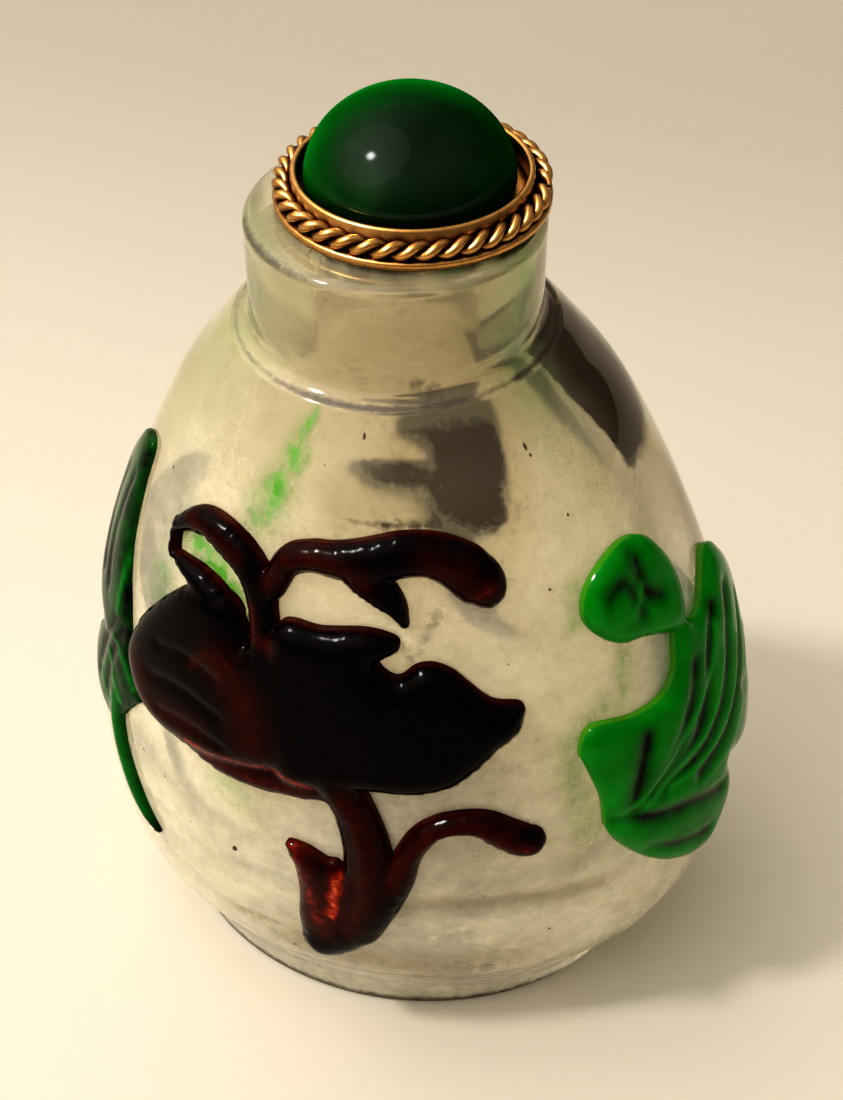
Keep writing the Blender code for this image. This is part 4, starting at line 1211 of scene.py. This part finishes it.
class SNUFF_BOTTLE_OT_carve_green_leaves(bpy.types.Operator):
    """Carve the green leaves: the pair on the right with its fan of ribs, and the one round the left side"""

    bl_idname = "snuff_bottle.carve_green_leaves"
    bl_label = "Carve the green leaves"

    def execute(self, context):
        settings = context.scene.snuff_overlays
        small = lobe(GREEN_THICKNESS, 2, (
            (64.1, 46.3), (70, 45.4), (73.6, 43.3), (74.6, 41.3), (73.4, 39), (70, 37.6), (60, 38.9),
            (53.5, 39.5), (48.6, 41), (47.1, 42.7), (50, 44.6), (56.7, 45.9),
        ))
        large = lobe(GREEN_THICKNESS, 2.2, (
            (91.5, 39.4), (99, 38), (106, 34.6), (110, 30), (108, 25.2), (101, 21.8), (90, 20.5), (83, 21.4),
            (78.6, 22.4), (81.4, 20), (81.8, 17.8), (78, 15.6), (73.5, 14.2), (67, 14.8), (57, 17.4),
            (49, 20.8), (44.4, 23.8), (43.6, 27), (41.4, 30.2), (40.4, 32), (43.5, 33.8), (52.8, 33.3),
            (60.4, 33.6), (65, 34.9), (67, 36.8), (70.2, 39), (74, 37.4), (79, 37.3), (85, 38.6),
        ))
        folds = [
            groove(0.42 * MM, 1.5, (49, 25.4), (51, 28), (54, 31.4)),
            groove(0.42 * MM, 1.3, (53, 26), (60, 28.6), (66, 31.6), (70, 34.6)),
            groove(0.42 * MM, 1.3, (56, 26), (64, 28), (70, 30.6), (76, 34.6), (82, 36.6)),
            groove(0.42 * MM, 1.2, (59, 25.8), (69, 27.3), (77, 29.4), (84, 33), (90, 36)),
            groove(0.4 * MM, 1.2, (66, 25), (78, 26.6), (88, 29.6), (98, 33)),
            groove(0.42 * MM, 1.3, (46, 25), (54, 23.8), (63, 22.6), (74, 20.8)),
            groove(0.35 * MM, 1.0, (53, 20.7), (60, 19), (70, 17.2)),
            groove(0.3 * MM, 1.2, (88, 27), (98, 26), (104, 27)),
            groove(0.4 * MM, 1.6, (63, 44.8), (62.5, 42.6), (66, 41.4)),
            groove(0.3 * MM, 1.3, (53, 43.4), (58, 43.8), (60, 41)),
        ]
        # Sharp crests between the cuts, raised a little and given a painted highlight: strength, radius, line
        crests = (
            (1.0, 0.28, (46, 25.4), (51, 25.9), (56, 27.3), (61, 29.1), (66, 30.4), (75, 33), (80, 35.4)),
            (1.0, 0.28, (52, 25.3), (60, 26.9), (68, 28), (74, 30), (80, 33)),
            (0.9, 0.28, (58, 25.6), (67, 26), (75, 26.8), (82, 29), (88, 32)),
            (0.7, 0.26, (66, 24), (78, 24.6), (90, 27.4), (98, 30)),
            (0.6, 0.3, (50, 41.4), (56, 41.2), (60, 42), (62, 43)),
            (0.5, 0.5, (49, 41.9), (53, 40.4), (60, 39.6), (68, 38.8)),
            (0.5, 0.8, (47, 29), (46, 27), (48, 23), (56, 19), (66, 15.8)),
        )
        bright = green_overlay_glass(settings, "bright_green_overlay_glass", -0.1)
        relief(
            "right_green_relief", ["right_leaves"], bright, [small, large], folds, settings,
            crests=crests)

        upper = lobe(GREEN_THICKNESS * 0.65, 2, (
            (-66.8, 47.6), (-64.4, 44.8), (-62.5, 42.2), (-60.5, 39.8), (-57, 37.2), (-53.8, 35), (-52, 32.4),
            (-57, 29.6), (-65, 30.6), (-74, 32), (-83, 35.5), (-88, 40), (-84, 44), (-76, 47),
        ))
        lower = lobe(GREEN_THICKNESS * 0.5, 1.8, (
            (-53.2, 34), (-52, 31.6), (-48.6, 29.6), (-44.8, 28.4), (-46.4, 27.4), (-49, 26), (-51.4, 24.6),
            (-55, 23.3), (-61, 22.8), (-67, 24), (-70, 27), (-67, 30), (-61.5, 32),
        ))
        stem = ribbon(STEM_THICKNESS, (
            (-53.5, 26.5, 0.8), (-52.9, 23.5, 0.8), (-51.2, 20.8, 0.8), (-48.4, 18, 0.8), (-45, 15.8, 0.6),
            (-42, 14.5, 0.35),
        ))
        cuts = [
            groove(0.25 * MM, 0.55, (-53.5, 33), (-56.5, 29), (-57.5, 25.5)),
            groove(0.25 * MM, 0.55, (-56, 33.5), (-60.5, 29.6), (-62.5, 26)),
            groove(0.25 * MM, 0.55, (-68, 44.5), (-69, 39), (-64, 34.5)),
            groove(0.25 * MM, 0.55, (-76, 43.5), (-77, 39), (-70, 34.5)),
        ]
        # Crests of the left leaf, raised a little and given a painted highlight: strength, radius, line
        crests = (
            (0.7, 0.22, (-60, 41), (-58.4, 37.4), (-56.4, 34)),
            (0.6, 0.22, (-57, 31.6), (-52, 30.4), (-47, 28.8)),
            (0.8, 0.22, (-58.5, 29.8), (-55, 28), (-51, 26.4)),
            (0.6, 0.22, (-62, 27), (-58, 25.4), (-54, 24.6)),
            (0.5, 0.6, (-53.4, 26), (-52.8, 23.4), (-51, 20.8), (-48.2, 18), (-45, 15.8)),
        )
        dark = green_overlay_glass(settings, "dark_green_overlay_glass", 0.66)
        relief(
            "left_green_relief", ["left_leaf"], dark, [upper, lower, stem], cuts, settings,
            LEFT_LEAF_LIFT, crests=crests)
        return {"FINISHED"}


class SNUFF_BOTTLE_OT_carve_back_figure(bpy.types.Operator):
    """Carve the plainer red figure on the back, which shows dark through the glass"""

    bl_idname = "snuff_bottle.carve_back_figure"
    bl_label = "Carve the back figure"

    def execute(self, context):
        settings = context.scene.snuff_overlays
        body = lobe(BACK_THICKNESS, 2.2, (
            (167, 38), (167.6, 35), (166, 31), (168.5, 28), (172, 25.2), (178, 24), (186, 23.6), (189, 26),
            (188, 31.4), (196, 33.4), (190, 36.4), (183, 39.6), (175, 41.5), (169, 41),
        ))
        tongue = ribbon(BACK_THICKNESS * 0.85, (
            (184, 26.8, 2.5), (192, 26.9, 2.5), (200, 27.3, 2.2), (205, 28.1, 1.3),
        ))
        stem = ribbon(BACK_THICKNESS * 0.85, (
            (182, 26, 1.9), (181, 20, 1.9), (178, 16, 1.8), (173, 12.8, 1.5), (168, 11.4, 1),
        ))
        cuts = [groove(0.3 * MM, 0.5, (172, 37), (177, 32), (181, 27))]
        red = bpy.data.materials["red_overlay_glass"]
        relief("back_red_relief", ["back_figure"], red, [body, tongue, stem], cuts, settings)
        return {"FINISHED"}


# The stopper


PLATE_THICKNESS = 0.6 * MM
BEZEL_HEIGHT = 2.3 * MM
BEZEL_INNER = 7.75 * MM
BEZEL_OUTER = 8.2 * MM
PLATE_RADIUS = (COLLAR_HIGH.x - COLLAR_LOW.x) / 2
COLLAR_X = (COLLAR_HIGH.x + COLLAR_LOW.x) / 2
COLLAR_Y = (COLLAR_HIGH.y + COLLAR_LOW.y) / 2
ROPE_JOINT = math.radians(97)  # where the wire's two ends meet, turned from the front
ROPE_GAP = math.radians(2.4)
ROPE_REST = 0.88  # of its radius: how far the rope's middle lies from the bezel and the plate
STEPS_A_TWIST = 26
WIRE_SIDES = 12
STONE_GIRDLE = 0.5 * MM
STONE_SEGMENTS = 128
# The dome is painted brightest along this direction, for light from the front that leaves by the far rim
FAR_RIM = np.array((-0.12, 0.62, 0.78))  # the way that light from the front leaves the dome


def turned_cup(segments):
    """Rings of the collar's plate and bezel, with slightly rounded rims."""
    soft = 0.12 * MM
    profile = [
        (PLATE_RADIUS - soft, 0), (PLATE_RADIUS, soft), (PLATE_RADIUS, PLATE_THICKNESS - soft),
        (PLATE_RADIUS - soft, PLATE_THICKNESS), (BEZEL_OUTER + soft, PLATE_THICKNESS),
        (BEZEL_OUTER, PLATE_THICKNESS + soft), (BEZEL_OUTER, BEZEL_HEIGHT - soft),
        (BEZEL_OUTER - soft, BEZEL_HEIGHT), (BEZEL_INNER + soft, BEZEL_HEIGHT),
        (BEZEL_INNER, BEZEL_HEIGHT - soft), (BEZEL_INNER, PLATE_THICKNESS),
    ]
    return [
        oval(radius, radius, COLLAR_X, COLLAR_Y, COLLAR_LOW.z + rise, segments) for radius, rise in profile
    ]


def twisted_strand(start_phase, radius, twists):
    """Rings of one of the two wires that are twisted round each other and laid in a ring."""
    steps = twists * STEPS_A_TWIST
    wire = radius / 2
    ring_radius, ring_rise = BEZEL_OUTER + ROPE_REST * radius, PLATE_THICKNESS + ROPE_REST * radius
    rings = []
    for i in range(steps + 1):
        share = i / steps
        turn = ROPE_JOINT + ROPE_GAP / 2 + share * (2 * math.pi - ROPE_GAP)
        phase = start_phase + 2 * math.pi * twists * share
        out = np.array([math.sin(turn), -math.cos(turn), 0])
        up = np.array([0, 0, 1.0])
        along = np.array([math.cos(turn), math.sin(turn), 0])
        centre = np.array([COLLAR_X, COLLAR_Y, COLLAR_LOW.z]) + out * ring_radius + up * ring_rise
        side = out * math.cos(phase) + up * math.sin(phase)
        across = -out * math.sin(phase) + up * math.cos(phase)
        slope = twists * wire / ring_radius
        lay = across - along * slope
        lay = lay / np.linalg.norm(lay)
        heart = centre + side * wire
        taper = min(1, 0.45 + 3 * min(share, 1 - share) * twists)  # the two ends are drawn thin
        rings.append([
            heart + wire * 0.98 * taper * (side * math.cos(a) + lay * math.sin(a))
            for a in np.arange(WIRE_SIDES) * 2 * math.pi / WIRE_SIDES
        ])
    return rings


def dome(middle, radius):
    """Rings of the cabochon, from its girdle to its crown."""
    x, y, foot = middle
    height = STONE_HIGH.z - STONE_LOW.z - STONE_GIRDLE
    inset = radius - STONE_GIRDLE / 2
    rings = [oval(inset, inset, x, y, foot, STONE_SEGMENTS)]
    for out, up in arc(1, 0, 88, 40):
        rise = foot + STONE_GIRDLE + height * up
        rings.append(oval(radius * out, radius * out, x, y, rise, STONE_SEGMENTS))
    return rings


def painted_dome_light(points, middle, radius):
    """From 0 to 1, the painted light of the dome: painted brightest at the far rim and the left, painted
    darkest low down and in front.
    """
    share = (points - middle) / radius
    far = 0.5 + 0.42 * (share @ FAR_RIM) ** 3
    left = 0.25 * np.clip(-share[:, 0] - 0.45, 0, 1)
    front = 0.34 * (1 - np.hypot(share[:, 0] - 0.25, share[:, 1] + 0.45))
    low = 0.3 * np.clip(1 - share[:, 2] / 0.25, 0, 1)
    return np.clip(far + left - front - low, 0, 1)


class SNUFF_BOTTLE_OT_mount_stopper(bpy.types.Operator):
    """Turn the gilt cup, lay its twisted wire, and set the green cabochon in it"""

    bl_idname = "snuff_bottle.mount_stopper"
    bl_label = "Mount the stopper"

    def execute(self, context):
        settings = context.scene.snuff_stopper
        gilt = worn_gilt_brass(settings)
        points, faces = loft(turned_cup(192))
        cup = new_piece("gilt_cup", points, faces, [gilt], 50)
        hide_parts("gilt_collar")
        radius, twists = settings.rope_radius, settings.rope_twists
        points, faces = joined(loft(twisted_strand(phase, radius, twists)) for phase in (0, math.pi))
        rope = new_piece("gilt_twisted_wire", points, faces, [gilt], 60)
        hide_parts("gilt_collar")

        radius = (STONE_HIGH.x - STONE_LOW.x) / 2
        middle = np.array(((STONE_HIGH.x + STONE_LOW.x) / 2, (STONE_HIGH.y + STONE_LOW.y) / 2, STONE_LOW.z))
        points, faces = loft(dome(middle, radius))
        # Painted light on the dome
        values = {"painted_glow": painted_dome_light(points, middle, radius)}
        stone = new_piece("cabochon", points, faces, [green_cabochon_glass(settings)], 50, None, values)
        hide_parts("green_cabochon")
        return {"FINISHED"}


# The stage


FLOOR_HALF = 2.0
FLOOR_DROP = 0.03 * MM  # a hair under the foot, so that light gets between them
LAMPS_AT = Vector((-0.60, -0.33, 1.0))
LAMPS = (  # name, size, how many times the set power, colour
    ("key_lamp", 1.6, 2.4, "#fff4e4"),
    ("bulb", 0.12, 5.4, "#fff8ee"),
    ("glint", 0.15, 30, "#ffffff"),
)
AIM_RISE = 35.13 * MM  # the point that the camera looks at
AIM_ASIDE = 0.73 * MM


def camera_place(settings):
    """The camera's own place and turn, from its rise, turn, roll and distance."""
    rise, roll = settings.rise, settings.roll
    spin = Matrix.Rotation(settings.turn, 3, "Z")
    back = spin @ Vector((0, -math.cos(rise), math.sin(rise)))
    right = spin @ Vector((1, 0, 0))
    up = back.cross(right)
    rolled_right = right * math.cos(roll) + up * math.sin(roll)
    rolled_up = up * math.cos(roll) - right * math.sin(roll)
    place = Matrix((rolled_right, rolled_up, back)).transposed().to_4x4()
    place.translation = Vector((0, 0, AIM_RISE)) + right * AIM_ASIDE + back * settings.distance
    return place


class SNUFF_BOTTLE_OT_set_stage(bpy.types.Operator):
    """Set the plain floor, the soft lights and the camera"""

    bl_idname = "snuff_bottle.set_stage"
    bl_label = "Set the stage"

    def execute(self, context):
        settings = context.scene.snuff_stage
        mesh = bpy.data.meshes.new("floor")
        sides = (-1, -1), (1, -1), (1, 1), (-1, 1)
        corners = [(x * FLOOR_HALF, y * FLOOR_HALF, -FLOOR_DROP) for x, y in sides]
        mesh.from_pydata(corners, [], [(0, 1, 2, 3)])
        mesh.materials.append(matt_painted_board(settings))
        floor = bpy.data.objects.new("floor", mesh)
        context.scene.collection.objects.link(floor)

        world = bpy.data.worlds.new("soft_room")
        context.scene.world = world
        world.use_nodes = True
        tree = world.node_tree
        tree.nodes.clear()
        direction = add_node(tree, "ShaderNodeTexCoord").outputs["Generated"]
        parts = add_node(tree, "ShaderNodeSeparateXYZ", {0: direction})
        ramp = add_node(tree, "ShaderNodeValToRGB", {"Fac": parts.outputs["Z"]}, stops=(
            (0.0, linear("#6e675b")), (0.3, linear("#b8ad9c")), (0.75, linear("#fff9f0")),
        ))
        # The light comes from the left, so the room falls off to the right
        side = add_node(tree, "ShaderNodeMapRange", {
            "Value": parts.outputs["X"], "From Min": -0.8, "From Max": 0.2,
            "To Min": settings.sky_strength * 1.7, "To Max": settings.sky_strength * 0.42,
        }, interpolation_type="SMOOTHSTEP")
        sky = add_node(tree, "ShaderNodeBackground", {
            "Color": ramp.outputs["Color"], "Strength": side.outputs[0],
        })
        out = add_node(tree, "ShaderNodeOutputWorld", {"Surface": sky.outputs[0]})
        out.is_active_output = True

        for name, size, power, colour in LAMPS:
            light = bpy.data.lights.new(name, "AREA")
            light.shape = "DISK"
            light.size = size
            light.energy = settings.lamp_power * power
            light.color = linear(colour)[:3]
            lamp = bpy.data.objects.new(name, light)
            lamp.location = LAMPS_AT
            aim = Vector((0, 0, 0.03)) - LAMPS_AT
            lamp.rotation_euler = aim.to_track_quat("-Z", "Y").to_euler()
            if name == "glint":  # shows only as a spark in what is polished
                lamp.visible_diffuse = False
                lamp.visible_transmission = False
            context.scene.collection.objects.link(lamp)

        camera_data = bpy.data.cameras.new("camera")
        camera_data.lens = settings.lens
        camera_data.sensor_width = 36
        camera_data.clip_start = 0.001
        camera = bpy.data.objects.new("camera", camera_data)
        camera.matrix_world = camera_place(settings)
        context.scene.collection.objects.link(camera)
        context.scene.camera = camera

        scene = context.scene
        scene.view_settings.view_transform = "Standard"
        scene.view_settings.look = "High Contrast"
        scene.cycles.max_bounces = 24
        scene.cycles.transmission_bounces = 24
        scene.cycles.glossy_bounces = 8
        scene.cycles.diffuse_bounces = 6
        scene.cycles.use_denoising = True
        scene.cycles.blur_glossy = 0.5
        return {"FINISHED"}


class SNUFF_BOTTLE_PT_panel(bpy.types.Panel):
    """Sizes and colours of the snuff bottle, and what makes each piece"""

    bl_label = "Snuff bottle"
    bl_idname = "SNUFF_BOTTLE_PT_panel"
    bl_space_type = "VIEW_3D"
    bl_region_type = "UI"
    bl_category = "Snuff bottle"

    def draw(self, context):
        groups = (
            (context.scene.snuff_glass, ("snuff_bottle.blow_bottle",)),
            (context.scene.snuff_overlays, (
                "snuff_bottle.carve_front_figure",
                "snuff_bottle.carve_green_leaves",
                "snuff_bottle.carve_back_figure",
            )),
            (context.scene.snuff_stopper, ("snuff_bottle.mount_stopper",)),
            (context.scene.snuff_stage, ("snuff_bottle.set_stage",)),
        )
        for settings, operators in groups:
            box = self.layout.box()
            for name in settings.bl_rna.properties.keys():
                if name not in ("rna_type", "name"):
                    box.prop(settings, name)
            for operator in operators:
                box.operator(operator)


CLASSES = (
    GlassSettings,
    OverlaySettings,
    StopperSettings,
    StageSettings,
    SNUFF_BOTTLE_OT_blow_bottle,
    SNUFF_BOTTLE_OT_carve_front_figure,
    SNUFF_BOTTLE_OT_carve_green_leaves,
    SNUFF_BOTTLE_OT_carve_back_figure,
    SNUFF_BOTTLE_OT_mount_stopper,
    SNUFF_BOTTLE_OT_set_stage,
    SNUFF_BOTTLE_PT_panel,
)


def register():
    for each in CLASSES:
        bpy.utils.register_class(each)
    bpy.types.Scene.snuff_glass = PointerProperty(type=GlassSettings)
    bpy.types.Scene.snuff_overlays = PointerProperty(type=OverlaySettings)
    bpy.types.Scene.snuff_stopper = PointerProperty(type=StopperSettings)
    bpy.types.Scene.snuff_stage = PointerProperty(type=StageSettings)


def unregister():
    del bpy.types.Scene.snuff_stage
    del bpy.types.Scene.snuff_stopper
    del bpy.types.Scene.snuff_overlays
    del bpy.types.Scene.snuff_glass
    for each in reversed(CLASSES):
        bpy.utils.unregister_class(each)


def clear_startup_scene():
    """Removes the startup scene's own cube, lamp and camera, and nothing of the frame."""
    for name in ("Cube", "Light", "Camera"):
        thing = bpy.data.objects.get(name)
        if thing:
            bpy.data.objects.remove(thing)


def main():
    register()
    clear_startup_scene()
    bpy.ops.snuff_bottle.blow_bottle()
    bpy.ops.snuff_bottle.carve_front_figure()
    bpy.ops.snuff_bottle.carve_green_leaves()
    bpy.ops.snuff_bottle.carve_back_figure()
    bpy.ops.snuff_bottle.mount_stopper()
    bpy.ops.snuff_bottle.set_stage()


if __name__ == "__main__":
    main()
